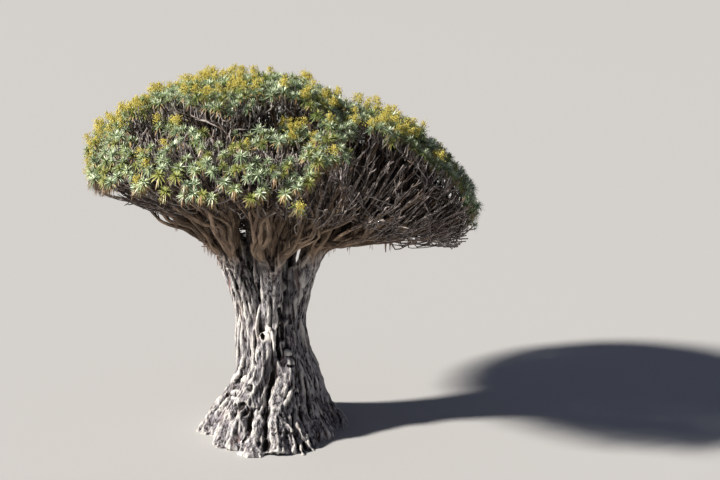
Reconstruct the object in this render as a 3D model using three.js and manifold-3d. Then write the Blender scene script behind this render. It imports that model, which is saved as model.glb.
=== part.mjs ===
// A veteran dragon blood tree: a fluted trunk on a wide root flare, which splits into heads; boughs that fan
// out of the heads; and an umbrella of forking twigs that end in tufts of sword leaves. Millimetres, +Z up.
// The origin is the middle of the flat cut at ground level, -Y is the front, and angles round the tree are
// counted from +X towards +Y.

import * as THREE from "three";
import { mergeVertices } from "three/addons/utils/BufferGeometryUtils.js";
import Module from "manifold-3d";

const wasm = await Module();
wasm.setup();

const DEG = Math.PI / 180;
const TURN = 360 * DEG;
const UP = new THREE.Vector3(0, 0, 1);
const FORWARD = new THREE.Vector3(0, 1, 0);
const CLEAR = 0.3; // gap between pieces that meet
const SEED = 20417;

// The solid middle of the trunk
const TRUNK = {
  heights: [0, 350, 850, 1450, 2100, 2800, 3600, 4600, 5600, 6500, 7200, 7700],
  columns: 40,
  waist: 1430, // radius of the narrow middle
  footSpread: 1520, // how much wider the foot is
  footHeight: 1850, // height over which the foot narrows
  footSharpness: 1.35,
  frontToe: 0.3, // how much further the foot runs towards -Y
  lean: 300, // sideways bulge of the lower trunk
  leanHeight: 2500,
  leanLength: 1000,
  topRadius: 1050,
  topStart: 5600, // where the middle starts to narrow between the heads
  topDome: 250,
};

// Flutes run up the whole trunk and turn into deeper toes at the foot
const FLUTES = {
  narrow: 11,
  broad: 7,
  broadShare: 0.5,
  broadPhase: 1.3,
  depth: 0.055,
  toeDepth: 0.09,
  toeHeight: 1300,
  winding: 0.25,
  windingHeight: 2600,
};

// Heads: the short thick limbs that the trunk splits into
const HEADS = [
  {
    kind: "outer",
    count: 7,
    firstAngle: -85 * DEG,
    foot: { reach: 900, height: 4300, radius: 620 },
    knee: { reach: 1120, height: 6500 },
    tip: { reach: 2120, height: 8150, radius: 480 },
  },
  {
    kind: "inner",
    count: 4,
    firstAngle: -40 * DEG,
    foot: { reach: 350, height: 6000, radius: 450 },
    knee: { reach: 520, height: 7600 },
    tip: { reach: 900, height: 9000, radius: 300 },
  },
  {
    kind: "centre",
    count: 1,
    firstAngle: 80 * DEG,
    foot: { reach: 20, height: 6000, radius: 450 },
    knee: { reach: 60, height: 7700 },
    tip: { reach: 90, height: 9150, radius: 300 },
  },
];
const HEAD_SIDES = 8;
const HEAD_SEGMENTS = 3;

// A head that carries several boughs has a collar for each, spread round its end
const COLLAR = { length: 850, radius: 228, flare: 1.3, sunk: 420, offset: 200, splay: 0.42, fan: 108 * DEG };

// Root columns that stand against the front of the trunk, each with a rounded knob on top
const ROOT_COLUMNS = [
  { angle: -98 * DEG, top: 4950, knob: 400, neck: 380, foot: 620, footReach: 3150 },
  { angle: -62 * DEG, top: 4000, knob: 400, neck: 340, foot: 680, footReach: 3550 },
];
const COLUMN = { twist: -23 * DEG, sides: 8, segments: 6, belowGround: 200 };

// Crown: an umbrella round its own upright axis
const CROWN = {
  centreX: 600,
  springHeight: 7900, // the boughs fan out from here
  reach: 9150,
  depthShare: 0.95, // reach along Y over reach along X
  top: 16500,
  rimHeight: 11450, // height of the widest ring
  rimTilt: 1150, // how much lower that ring is at +X, and higher at -X
  fullness: 2.0, // above 2 is boxier than an ellipse
  fullnessTilt: 0.5,
  underhang: 3200, // how far the lip would curl under below the widest ring
  lipRise: -22 * DEG, // the lip's place on that curl
  frontRise: 31 * DEG, // the lip is higher at the front
  openRise: 46 * DEG, // and much higher at the front right, where bare boughs show
  openAngle: -42 * DEG,
  openWidth: 30 * DEG,
  tierDrop: 1350, // the front left tier is lower than the top
};
const SPRING = new THREE.Vector3(CROWN.centreX, 0, CROWN.springHeight);

// Rings of foliage masses. The climb is how far up from the lip to the crest the middle of a mass lies. Its
// stem starts at a reach from the crown's axis and at a height, spread further out and tilted lower at +X, and
// raised at the front.
const RINGS = [
  {
    name: "rim",
    head: "outer",
    count: 14,
    firstAngle: -97.86 * DEG,
    climb: 0.17,
    stem: { reach: 5000, spread: 500, height: 9200, tilt: 350, raised: 1250 },
  },
  {
    name: "shoulder",
    head: "outer",
    count: 7,
    firstAngle: -85 * DEG,
    climb: 0.53,
    stem: { reach: 3500, spread: 0, height: 11400, tilt: 400, raised: 0 },
  },
  {
    name: "top",
    head: "inner",
    count: 4,
    firstAngle: -40 * DEG,
    climb: 0.79,
    stem: { reach: 1900, spread: 0, height: 12300, tilt: 200, raised: 0 },
  },
  {
    name: "crest",
    head: "centre",
    count: 1,
    firstAngle: 0,
    climb: 1,
    stem: { reach: 0, spread: 0, height: 12300, tilt: 0, raised: 0 },
  },
];

const BOUGH = { foot: 215, tip: 118, sides: 6, segments: 5, handle: 0.34, turn: 0.4 };
const TWIG = { sides: 3, stem: 900, foot: 112, tip: 62, taper: 0.3, sideShare: 0.55, reachShare: 0.42 };
const TUFT = { spacing: 1615, throws: 14000, inset: 910, upward: 0.25, wallMargin: 520, ringLeaves: 4 };
const LEAF = { length: 1250, width: 580, thickness: 80, widest: 0.42 };
const LEAF_LEAN = 66 * DEG;
const LEAF_SIZES = [1, 0.78, 0.56]; // a shorter leaf is tried where a long one would leave its space
const SHOOT = { length: 850, tip: 6 }; // the upright leaf in the middle of a tuft
const PLUME = { length: 950, width: 520, thickness: 520, widest: 0.4 }; // a flower head round a shoot
const PLUME_SHARE = 0.18;
const WALL_GAP = 6; // leaves keep this far from the next mass's space

const mix = (a, b, t) => a + (b - a) * t;
const bump = (x, middle, width) => Math.exp(-(((x - middle) / width) ** 2));
const angleBetween = (a, b) => Math.atan2(Math.sin(a - b), Math.cos(a - b));
const polar = (reach, angle, height) =>
  new THREE.Vector3(reach * Math.cos(angle), reach * Math.sin(angle), height);
const ahead = (point, way, distance) => point.clone().addScaledVector(way, distance);
const wayTo = (from, to) => to.clone().sub(from).normalize();
const middleOf = (points) =>
  points.reduce((sum, point) => sum.add(point), new THREE.Vector3()).divideScalar(points.length);

// A repeatable stream of numbers from 0 to 1
function seeded(seed) {
  let state = seed >>> 0;
  return () => {
    state = (state + 0x6d2b79f5) >>> 0;
    let t = Math.imul(state ^ (state >>> 15), 1 | state);
    t = (t + Math.imul(t ^ (t >>> 7), 61 | t)) ^ t;
    return ((t ^ (t >>> 14)) >>> 0) / 4294967296;
  };
}

// Joining and cutting

function solid(geometry) {
  geometry.deleteAttribute("normal");
  geometry.deleteAttribute("uv");
  const merged = mergeVertices(geometry, 1e-2);
  return new wasm.Manifold(
    new wasm.Mesh({
      numProp: 3,
      vertProperties: new Float32Array(merged.attributes.position.array),
      triVerts: new Uint32Array(merged.index.array),
    }),
  );
}

const join = (solids) => solids.reduce((whole, piece) => whole.add(piece));

// The largest body of a solid, so that no loose scrap is kept
const mainBody = (whole) =>
  whole.decompose().reduce((best, piece) => (piece.volume() > best.volume() ? piece : best));

function meshOf(name, whole, material) {
  const made = whole.getMesh();
  const position = new Float32Array(made.numVert * 3);
  for (let i = 0; i < made.numVert; i++) {
    const first = i * made.numProp;
    position.set(made.vertProperties.subarray(first, first + 3), i * 3);
  }
  const geometry = new THREE.BufferGeometry();
  geometry.setAttribute("position", new THREE.BufferAttribute(position, 3));
  geometry.setIndex(new THREE.BufferAttribute(made.triVerts, 1));
  geometry.computeVertexNormals();
  const mesh = new THREE.Mesh(geometry, material);
  mesh.name = name;
  return mesh;
}

// Limbs

function tangentsOf(points) {
  const last = points.length - 1;
  return points.map((_, i) => wayTo(points[Math.max(i - 1, 0)], points[Math.min(i + 1, last)]));
}

// A tapering limb: a cylinder whose rings are carried onto a line of points, each with its radius
function limb(points, radii, sides, tangents = tangentsOf(points)) {
  const last = points.length - 1;
  const geometry = new THREE.CylinderGeometry(1, 1, 1, sides, last);
  const normals = [];
  tangents.forEach((tangent, i) => {
    const before = i ? normals[i - 1] : Math.abs(tangent.z) > 0.9 ? FORWARD : UP;
    normals.push(ahead(before, tangent, -before.dot(tangent)).normalize());
  });
  const position = geometry.attributes.position;
  for (let i = 0; i < position.count; i++) {
    const ring = Math.round((position.getY(i) + 0.5) * last);
    const side = new THREE.Vector3().crossVectors(normals[ring], tangents[ring]);
    const place = ahead(points[ring], normals[ring], radii[ring] * position.getX(i));
    place.addScaledVector(side, radii[ring] * position.getZ(i));
    position.setXYZ(i, place.x, place.y, place.z);
  }
  return solid(geometry);
}

// A limb along a curve, evenly tapered, with its ends square to the curve
function sweep(curve, foot, tip, sides, segments) {
  const points = curve.getSpacedPoints(segments);
  const tangents = points.map((_, i) => curve.getTangentAt(i / segments));
  const radii = points.map((_, i) => mix(foot, tip, i / segments));
  return limb(points, radii, sides, tangents);
}

// Trunk

const trunkLean = (height) => TRUNK.lean * bump(height, TRUNK.leanHeight, TRUNK.leanLength);

function trunkRadius(height) {
  const foot = TRUNK.footSpread * Math.exp(-((height / TRUNK.footHeight) ** TRUNK.footSharpness));
  const closing = Math.max(0, (height - TRUNK.topStart) / (TRUNK.heights.at(-1) - TRUNK.topStart));
  return mix(TRUNK.waist, TRUNK.topRadius, Math.min(1, closing) ** 1.5) + foot;
}

function flute(angle, height) {
  const turned = angle + FLUTES.winding * Math.sin(height / FLUTES.windingHeight);
  const narrow = Math.cos(FLUTES.narrow * turned);
  const broad = FLUTES.broadShare * Math.cos(FLUTES.broad * turned + FLUTES.broadPhase);
  const toe = Math.exp(-height / FLUTES.toeHeight);
  return 1 + mix(FLUTES.depth, FLUTES.toeDepth, toe) * (narrow + broad);
}

function trunkMiddle() {
  const rings = TRUNK.heights.map((height) => new THREE.Vector2(trunkRadius(height), height));
  const crest = new THREE.Vector2(0, TRUNK.heights.at(-1) + TRUNK.topDome);
  const geometry = new THREE.LatheGeometry([new THREE.Vector2(0, 0), ...rings, crest], TRUNK.columns);
  geometry.rotateX(90 * DEG);
  const position = geometry.attributes.position;
  for (let i = 0; i < position.count; i++) {
    const height = position.getZ(i);
    const reach = Math.hypot(position.getX(i), position.getY(i));
    const angle = Math.atan2(position.getY(i), position.getX(i));
    const toe = Math.exp(-height / FLUTES.toeHeight);
    const front = 1 + TRUNK.frontToe * toe * Math.max(0, -Math.sin(angle)) ** 2;
    const out = reach * flute(angle, height) * front;
    position.setXYZ(i, out * Math.cos(angle) + trunkLean(height), out * Math.sin(angle), height);
  }
  return solid(geometry);
}

// A root column stands on the flare, winds up against the trunk and ends in its knob
function rootColumn(column) {
  const against = (climb, twisted, out) => {
    const height = column.top * climb;
    const point = polar(trunkRadius(height) + out, column.angle + twisted * COLUMN.twist, height);
    point.x += trunkLean(height);
    return point;
  };
  const curve = new THREE.CatmullRomCurve3([
    polar(column.footReach, column.angle + COLUMN.twist, -COLUMN.belowGround),
    against(0.25, 1, 150),
    against(0.5, 0.9, 60),
    against(0.72, 0.4, 0),
    against(0.92, 0, 0),
  ]);
  const knob = new THREE.IcosahedronGeometry(column.knob, 1);
  knob.translate(...against(0.93, 0, column.knob * 0.2));
  return sweep(curve, column.foot, column.neck, COLUMN.sides, COLUMN.segments).add(solid(knob));
}

// A head rises from inside the trunk, stands up beside it and leans out
function layOutHeads() {
  return HEADS.flatMap((kind) =>
    Array.from({ length: kind.count }, (_, k) => {
      const angle = kind.firstAngle + (k * TURN) / kind.count;
      const points = [kind.foot, kind.knee, kind.tip].map((p) => polar(p.reach, angle, p.height));
      return { ...kind, angle, curve: new THREE.QuadraticBezierCurve3(...points) };
    }),
  );
}

function cutAtGround(whole) {
  const earth = new THREE.BoxGeometry(16000, 16000, 4000);
  earth.translate(0, 0, -2000);
  return whole.subtract(solid(earth));
}

function trunkSolid(heads, masses) {
  const limbs = heads.map((head) =>
    sweep(head.curve, head.foot.radius, head.tip.radius, HEAD_SIDES, HEAD_SEGMENTS),
  );
  const collars = masses.filter((mass) => mass.collar).map((mass) => mass.collar);
  return mainBody(cutAtGround(join([trunkMiddle(), ...ROOT_COLUMNS.map(rootColumn), ...limbs, ...collars])));
}

// Crown

// The crown's outer surface, by angle round the axis and rise from the widest ring to the crest
function canopyPoint(angle, rise, drop = 0) {
  const side = Math.cos(angle);
  const rim = CROWN.rimHeight - CROWN.rimTilt * side;
  const fullness = CROWN.fullness - CROWN.fullnessTilt * side;
  const reach = CROWN.reach * Math.cos(rise) ** (rise > 0 ? 2 / fullness : 1);
  const height = rim + Math.sin(rise) * (rise > 0 ? CROWN.top - drop - rim : CROWN.underhang);
  const point = polar(reach, angle, height);
  point.y *= CROWN.depthShare;
  point.x += CROWN.centreX;
  return point;
}

// The crown's lip
function lowestRise(angle) {
  const front = Math.max(0, -Math.sin(angle));
  const open = bump(angleBetween(angle, CROWN.openAngle), 0, CROWN.openWidth);
  return CROWN.lipRise + CROWN.frontRise * front + CROWN.openRise * open;
}

const inFrontLeftTier = (angle) => Math.cos(angle) < 0.3 && Math.sin(angle) < -0.1;

function planMass(ring, k, heads) {
  const angle = ring.firstAngle + (k * TURN) / ring.count;
  const drop = ring.name === "shoulder" && inFrontLeftTier(angle) ? CROWN.tierDrop : 0;
  const aim = canopyPoint(angle, mix(lowestRise(angle), 90 * DEG, ring.climb), drop);
  const apart = (head) => Math.abs(angleBetween(head.angle, angle));
  const head = heads
    .filter((one) => one.kind === ring.head)
    .reduce((best, one) => (apart(one) < apart(best) ? one : best));
  const name = ring.count > 1 ? `${ring.name}_${String(k + 1).padStart(2, "0")}` : ring.name;
  return { name, ring, angle, drop, aim, head, way: wayTo(SPRING, aim), tufts: [], limbs: [] };
}

// Each mass keeps to a space of its own: a cone out of SPRING with flat walls halfway to its neighbours
function layOutMasses(heads) {
  const masses = RINGS.flatMap((ring) =>
    Array.from({ length: ring.count }, (_, k) => planMass(ring, k, heads)),
  );
  masses.forEach((mass) => {
    const others = masses.filter((other) => other !== mass);
    mass.walls = others.map((other) => wayTo(other.way, mass.way));
  });
  return masses;
}

function pushInside(mass, point, margin) {
  for (let round = 0; round < 8; round++) {
    mass.walls.forEach((wall) => {
      const depth = point.clone().sub(SPRING).dot(wall);
      if (depth < margin) point.addScaledVector(wall, (margin - depth) * 0.6);
    });
  }
  return point;
}

function fits(mass, geometry) {
  const position = geometry.attributes.position;
  const corner = new THREE.Vector3();
  for (let i = 0; i < position.count; i++) {
    corner.fromBufferAttribute(position, i).sub(SPRING);
    if (mass.walls.some((wall) => corner.dot(wall) < WALL_GAP)) return false;
  }
  return true;
}

// Tufts are thrown onto the crown's surface at random and kept where none stands near
function scatterTufts(masses, random) {
  const kept = [];
  for (let n = 0; n < TUFT.throws; n++) {
    const angle = random() * TURN;
    const rise = mix(lowestRise(angle), 90 * DEG, random());
    const point = canopyPoint(angle, rise);
    if (kept.some((other) => other.distanceTo(point) < TUFT.spacing)) continue;
    kept.push(point);
    const way = wayTo(SPRING, point);
    const mass = masses.reduce((best, one) => (one.way.dot(way) > best.way.dot(way) ? one : best));
    const surface = canopyPoint(angle, rise, mass.drop);
    const end = ahead(surface, wayTo(SPRING, surface), -TUFT.inset);
    mass.tufts.push(pushInside(mass, end, TUFT.wallMargin));
  }
}

// Foliage masses

// Splits points in two halves across their widest spread
function split(points) {
  const furthest = (from) =>
    points.reduce((best, point) => (point.distanceTo(from) > best.distanceTo(from) ? point : best));
  const first = furthest(middleOf(points));
  const axis = wayTo(first, furthest(first));
  const ordered = [...points].sort((a, b) => a.dot(axis) - b.dot(axis));
  const half = Math.ceil(ordered.length / 2);
  return [ordered.slice(0, half), ordered.slice(half)];
}

// The growing rule: a limb runs part of the way towards the middle of its tufts and forks. It goes on to the
// one half of them, and a thinner limb leaves it there for the other half, by the same rule.
function grow(limbs, path, tufts) {
  const here = path.points.at(-1);
  if (tufts.length === 1) {
    limbs.push({ ...path, end: tufts[0], along: wayTo(here, tufts[0]) });
    return;
  }
  const fork = here.clone().lerp(middleOf(tufts), TWIG.reachShare);
  const radius = mix(path.radii.at(-1), TWIG.tip, TWIG.taper);
  const [near, far] = split(tufts);
  grow(limbs, { points: [...path.points, fork], radii: [...path.radii, radius] }, near);
  grow(limbs, { points: [fork], radii: [radius * TWIG.sideShare] }, far);
}

// An octahedron drawn out from a root along an axis
function spindle(root, along, side, size, share) {
  const geometry = new THREE.OctahedronGeometry(1);
  const flat = new THREE.Vector3().crossVectors(side, along);
  const position = geometry.attributes.position;
  for (let i = 0; i < position.count; i++) {
    const run = Math.abs(position.getY(i)) > 0.5 ? (position.getY(i) + 1) / 2 : size.widest;
    const place = ahead(root, along, run * size.length * share);
    place.addScaledVector(side, (position.getX(i) * size.width) / 2);
    place.addScaledVector(flat, (position.getZ(i) * size.thickness) / 2);
    position.setXYZ(i, place.x, place.y, place.z);
  }
  return geometry;
}

// A limb that ends in a tuft: it runs on as the upright leaf, and a ring of leaves leans out of it
function tuftedLimb(mass, path, random) {
  const axis = path.along.clone().add(wayTo(SPRING, path.end)).addScaledVector(UP, TUFT.upward).normalize();
  const across = new THREE.Vector3().crossVectors(axis, Math.abs(axis.z) > 0.95 ? FORWARD : UP);
  across.normalize().applyAxisAngle(axis, random() * 90 * DEG);
  const shoot = ahead(path.end, axis, SHOOT.length);
  const solids = [limb([...path.points, path.end, shoot], [...path.radii, TWIG.tip, SHOOT.tip], TWIG.sides)];
  const addIfFits = (geometry) => fits(mass, geometry) && solids.push(solid(geometry));
  for (let k = 0; k < TUFT.ringLeaves; k++) {
    const sideways = across.clone().applyAxisAngle(axis, (k * TURN) / TUFT.ringLeaves);
    const along = axis.clone().applyAxisAngle(sideways, LEAF_LEAN * mix(0.85, 1.15, random()));
    LEAF_SIZES.some((share) => addIfFits(spindle(path.end, along, sideways, LEAF, share)));
  }
  if (random() < PLUME_SHARE) addIfFits(spindle(path.end, axis, across, PLUME, 1));
  return solids;
}

const massSolid = (mass, random) =>
  mainBody(join(mass.limbs.flatMap((path) => tuftedLimb(mass, path, random))));

// Boughs

// Where a bough leaves its head: from a collar of its own, or straight from the end of a head with one bough
function placeFoot(mass) {
  const tip = mass.head.curve.getPoint(1);
  const lean = mass.head.curve.getTangent(1);
  if (mass.head.kind !== "outer") {
    Object.assign(mass, { foot: tip, footWay: lean });
    return;
  }
  const side = mass.ring.name === "rim" ? Math.sign(angleBetween(mass.head.angle, mass.angle)) : 0;
  const sideways = ahead(UP, lean, -lean.z).normalize().applyAxisAngle(lean, side * COLLAR.fan);
  const way = ahead(lean, sideways, COLLAR.splay).normalize();
  const base = ahead(tip, sideways, COLLAR.offset);
  mass.foot = ahead(base, way, COLLAR.length);
  mass.footWay = way;
  const radii = [COLLAR.radius * COLLAR.flare, COLLAR.radius];
  mass.collar = limb([ahead(base, way, -COLLAR.sunk), mass.foot], radii, BOUGH.sides);
}

function placeStem(mass) {
  const { reach, spread, height, tilt, raised } = mass.ring.stem;
  const side = Math.cos(mass.angle);
  const front = Math.max(0, -Math.sin(mass.angle));
  const start = polar(reach + spread * side, mass.angle, height - tilt * side + raised * front);
  start.x += CROWN.centreX;
  mass.start = pushInside(mass, start, TUFT.wallMargin);
  mass.startWay = wayTo(mass.foot, mass.start).lerp(wayTo(mass.start, mass.aim), BOUGH.turn).normalize();
  const firstFork = ahead(mass.start, mass.startWay, TWIG.stem);
  grow(mass.limbs, { points: [mass.start, firstFork], radii: [TWIG.foot, TWIG.foot] }, mass.tufts);
}

// A bough leaves its foot straight, bends in one long sweep and meets its mass's stem end to end
function boughSolid(mass) {
  const from = ahead(mass.foot, mass.footWay, CLEAR);
  const to = ahead(mass.start, mass.startWay, -CLEAR);
  const handle = from.distanceTo(to) * BOUGH.handle;
  const bends = [ahead(from, mass.footWay, handle), ahead(to, mass.startWay, -handle)];
  const curve = new THREE.CubicBezierCurve3(from, ...bends, to);
  return sweep(curve, BOUGH.foot, BOUGH.tip, BOUGH.sides, BOUGH.segments);
}

// The tree

const trunkBark = new THREE.MeshStandardMaterial({ color: 0xa39a90, roughness: 0.9, metalness: 0 });
const boughBark = new THREE.MeshStandardMaterial({ color: 0x8a7666, roughness: 0.9, metalness: 0 });
const foliage = new THREE.MeshStandardMaterial({ color: 0x5f8558, roughness: 0.6, metalness: 0 });

const tree = new THREE.Group();
const random = seeded(SEED);
const heads = layOutHeads();
const masses = layOutMasses(heads);
scatterTufts(masses, random);
masses.forEach(placeFoot);
masses.forEach(placeStem);
tree.add(meshOf("trunk", trunkSolid(heads, masses), trunkBark));
masses.forEach((mass) => {
  tree.add(meshOf(`bough_${mass.name}`, boughSolid(mass), boughBark));
  tree.add(meshOf(`foliage_${mass.name}`, massSolid(mass, random), foliage));
});

export default tree;
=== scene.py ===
# %% [markdown]
# # A veteran dragon blood tree
# A dragon blood tree never makes ordinary bark or year rings. Its trunk is a bundle of strands that
# ran down from the crown and grew together, and its crown is an umbrella of limbs that fork again
# and again, each tip ending in a rosette of sword leaves. This notebook puts those looks round a
# plain model of the same tree. The plain model is loaded first and is never moved. Its sizes and
# growing rule are written again here, in metres, and carried to finer twigs. The origin is the
# middle of the flat cut at ground level, +Z is up, -Y is the front, and angles round the tree are
# counted from +X towards +Y.

# %% Load the plain model
import itertools
import math
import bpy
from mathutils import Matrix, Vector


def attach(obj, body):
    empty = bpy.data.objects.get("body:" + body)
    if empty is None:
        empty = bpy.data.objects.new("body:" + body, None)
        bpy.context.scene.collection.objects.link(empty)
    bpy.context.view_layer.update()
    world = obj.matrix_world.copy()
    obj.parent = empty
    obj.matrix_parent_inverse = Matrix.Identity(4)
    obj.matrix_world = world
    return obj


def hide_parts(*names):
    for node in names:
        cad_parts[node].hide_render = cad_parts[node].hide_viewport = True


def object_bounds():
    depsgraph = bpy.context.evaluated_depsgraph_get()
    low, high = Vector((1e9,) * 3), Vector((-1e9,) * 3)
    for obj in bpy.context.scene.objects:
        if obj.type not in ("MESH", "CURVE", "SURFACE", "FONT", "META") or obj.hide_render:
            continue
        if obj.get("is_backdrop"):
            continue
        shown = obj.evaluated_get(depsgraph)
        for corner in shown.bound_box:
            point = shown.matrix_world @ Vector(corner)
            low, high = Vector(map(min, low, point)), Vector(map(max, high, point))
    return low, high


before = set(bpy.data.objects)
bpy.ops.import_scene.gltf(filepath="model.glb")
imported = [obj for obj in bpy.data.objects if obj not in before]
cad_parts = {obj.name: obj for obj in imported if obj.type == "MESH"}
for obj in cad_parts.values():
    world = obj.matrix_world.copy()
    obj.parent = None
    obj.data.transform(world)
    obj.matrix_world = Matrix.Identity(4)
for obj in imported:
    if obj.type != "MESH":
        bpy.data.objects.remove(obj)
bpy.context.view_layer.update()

from types import SimpleNamespace

import bpy
import numpy as np
from mathutils import Vector

bpy.ops.object.select_all(action="DESELECT")

# %% [markdown]
# ## Camera
# The photographer stood about sixty metres away, a little above the middle of the crown, and looked
# slightly down. A lens of 66 mm on a 36 mm sensor gives the same flattening. The camera is aimed at
# a point by turning its -Z axis that way, which is safer than typing angles.

# %% Camera
EYE = Vector((4.07, -58.6, 21.8))
AIM = Vector((4.07, 0.0, 8.85))
LENS = 66.0
FAR = 6000.0

bpy.ops.object.camera_add(location=EYE)
camera = bpy.context.object
camera.rotation_euler = (AIM - EYE).to_track_quat("-Z", "Y").to_euler()
camera.data.lens = LENS
camera.data.clip_end = FAR
bpy.context.scene.camera = camera
print("camera:", round((AIM - EYE).length, 1), "m from the tree's middle")

# %% [markdown]
# ## Light and floor
# In daylight the trunk is pale on its left and lilac on its right, so one large lamp stands to the
# left, high and a little in front. A sun lamp with a wide angle gives soft shadows that don't
# depend on its distance, and the world adds a weak fill from all round. The floor is a plain pale
# sheet, large enough to fill the view. The picture is shown without the soft film curve that
# Blender adds, so that the bark keeps its hard contrast.

# %% Light and floor
KEY_FROM = Vector((-0.92, -0.25, 0.62))
KEY_STRENGTH = 8.2
KEY_COLOUR = (1.0, 0.955, 0.89)
KEY_ANGLE = math.radians(5)
FILL_COLOUR = (0.62, 0.70, 1.0, 1.0)
FILL_STRENGTH = 0.155
FLOOR_SIZE = 5000.0
FLOOR_COLOUR = (0.43, 0.425, 0.415, 1.0)
FLOOR_ROUGHNESS = 0.9

bpy.ops.object.light_add(type="SUN")
key = bpy.context.object
key.rotation_euler = (-KEY_FROM).to_track_quat("-Z", "Y").to_euler()
key.data.energy = KEY_STRENGTH
key.data.angle = KEY_ANGLE
key.data.color = KEY_COLOUR

world = bpy.data.worlds.new("studio")
world.use_nodes = True
fill = world.node_tree.nodes["Background"]
fill.inputs["Color"].default_value = FILL_COLOUR
fill.inputs["Strength"].default_value = FILL_STRENGTH
bpy.context.scene.world = world
bpy.context.scene.view_settings.view_transform = "Standard"

bpy.ops.mesh.primitive_plane_add(size=FLOOR_SIZE)
floor = bpy.context.object
floor.name = "floor"
floor_paint = bpy.data.materials.new("floor_paint")
floor_paint.use_nodes = True
floor_shader = floor_paint.node_tree.nodes["Principled BSDF"]
floor_shader.inputs["Base Color"].default_value = FLOOR_COLOUR
floor_shader.inputs["Roughness"].default_value = FLOOR_ROUGHNESS
floor.data.materials.append(floor_paint)
floor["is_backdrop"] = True
print("light and floor: one key lamp, a weak fill, a floor", FLOOR_SIZE, "m wide")

# %% [markdown]
# ## A small language for materials
# A material is a graph of nodes, and sums written as nodes are hard to read. The class below wraps
# one output of a node, so that `1 - mask` or `grain * 0.5` adds the Math node by itself. Every
# other node comes from one method: its type, its settings and the values or links of its sockets.

# %% Wires between shader nodes
class Wire:
    """One output of a shader node. Sums on it add Math nodes."""

    def __init__(self, tree, socket=None):
        self.tree = tree
        self.socket = socket

    def node(self, kind, settings=None, sockets=None, output=0):
        made = self.tree.nodes.new(kind)
        for name, value in (settings or {}).items():
            setattr(made, name, value)
        for name, value in (sockets or {}).items():
            if isinstance(value, Wire):
                self.tree.links.new(value.socket, made.inputs[name])
            else:
                made.inputs[name].default_value = value
        return Wire(self.tree, made.outputs[output])

    def maths(self, operation, first, second):
        return self.node("ShaderNodeMath", {"operation": operation}, {0: first, 1: second})

    def __add__(self, other):
        return self.maths("ADD", self, other)

    def __sub__(self, other):
        return self.maths("SUBTRACT", self, other)

    def __rsub__(self, other):
        return self.maths("SUBTRACT", other, self)

    def __mul__(self, other):
        return self.maths("MULTIPLY", self, other)

    __radd__ = __add__
    __rmul__ = __mul__

    def between(self, low, high):
        """0 below low, 1 above high and smooth in between."""
        sockets = {"Value": self, "From Min": low, "From Max": high}
        return self.node("ShaderNodeMapRange", {"interpolation_type": "SMOOTHSTEP"}, sockets)

    def blend(self, first, second):
        """The first colour where this is 0 and the second where it is 1."""
        return self.node("ShaderNodeMix", {"data_type": "RGBA"}, {0: self, 6: first, 7: second}, output=2)


def blank_material(name):
    material = bpy.data.materials.new(name)
    material.use_nodes = True
    return material, Wire(material.node_tree), material.node_tree.nodes["Principled BSDF"]


def feed(shader, name, wire):
    wire.tree.links.new(wire.socket, shader.inputs[name])


def clouds(wire, vector, scale, detail=4.0, roughness=0.55):
    sockets = {"Vector": vector, "Scale": scale, "Detail": detail, "Roughness": roughness}
    return wire.node("ShaderNodeTexNoise", {}, sockets)


def stretched(wire, vector, share, offset=0.0):
    """A place whose patterns are drawn out along Z."""
    sockets = {"Vector": vector, "Location": (offset, offset, 0.0), "Scale": (1.0, 1.0, share)}
    return wire.node("ShaderNodeMapping", {}, sockets)


print("shader language ready")

# %% [markdown]
# ## Bark
# Old dragon tree bark is pale grey with a lilac cast, fibrous along the limb and stained red-brown
# where the resin ran. On the boughs it turns a warm brown. Painting it isn't needed: noise stretched
# along the limb gives the fibres, a wide noise gives the patches, and thin lines where two more
# noises cross their middle value give the cracks. An attribute of the mesh says how deep each point
# lies: above 0 in a cleft and below 0 on a ridge. From it the ridges get a pale painted highlight
# and the clefts a nearly black painted shade, which the cracks share; on the boughs the ridges get a
# warm painted highlight and the hollows a dark brown painted shade. The trunk reads its own
# coordinates, and the boughs read an attribute that runs along each bough.

# %% Bark
# A painted highlight: the pale colour of the ridges and of a few fibres.
RIDGE_HIGHLIGHT_BARK = (0.92, 0.88, 0.82, 1.0)
PALE_BARK = (0.395, 0.380, 0.405, 1.0)
DULL_BARK = (0.145, 0.130, 0.145, 1.0)
# The boughs' warm browns: the darker one is their own dark patches and a painted shade in their hollows,
WARM_BARK = (0.036, 0.022, 0.016, 1.0)
# and the paler one is their own pale patches and a painted highlight on their ridges.
WARM_PATCH_AND_HIGHLIGHT = (0.45, 0.320, 0.222, 1.0)
STAIN = (0.16, 0.070, 0.045, 1.0)
# Painted shade in the clefts, and the real dark colour of the cracks.
CRACK_AND_CLEFT_SHADE = (0.014, 0.008, 0.006, 1.0)
TRUNK_WARM = (7.2, 9.0)
BOUGH_WARM = (4.0, 6.0)
BOUGH_GRAIN = 2.2
CRACK_WIDTH = 0.055
CRACK_DEPTH = 0.40
SLIT_DEPTH = 0.46
BUMP_DEPTH = 0.08
BARK_PATCHES = (0.55, 3.0)
# Each noise: how far it is drawn out along the limb, its offset, scale, detail and roughness.
BARK_NOISES = {
    "fine": (0.12, 0.0, 13.0, 8.0, 0.66),
    "broad": (0.20, 7.0, 2.6, 4.0, 0.60),
    "red": (0.12, 3.0, 2.0, 5.0, 0.70),
    "seams": (0.16, 11.0, 5.0, 3.0, 0.50),
    "slits": (0.13, 17.0, 12.0, 2.0, 0.50),
}
# Each mask: the value where it starts and the value where it is full.
BARK_MASKS = {
    "slit": (0.36, 0.56),
    "ridge": (0.22, 0.62),
    "pale": (0.36, 0.64),
    "brown": (0.43, 0.57),
    "stain": (0.54, 0.68),
    "cleft": (0.10, 0.46),
    "smooth": (0.45, 0.75),
}


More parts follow.
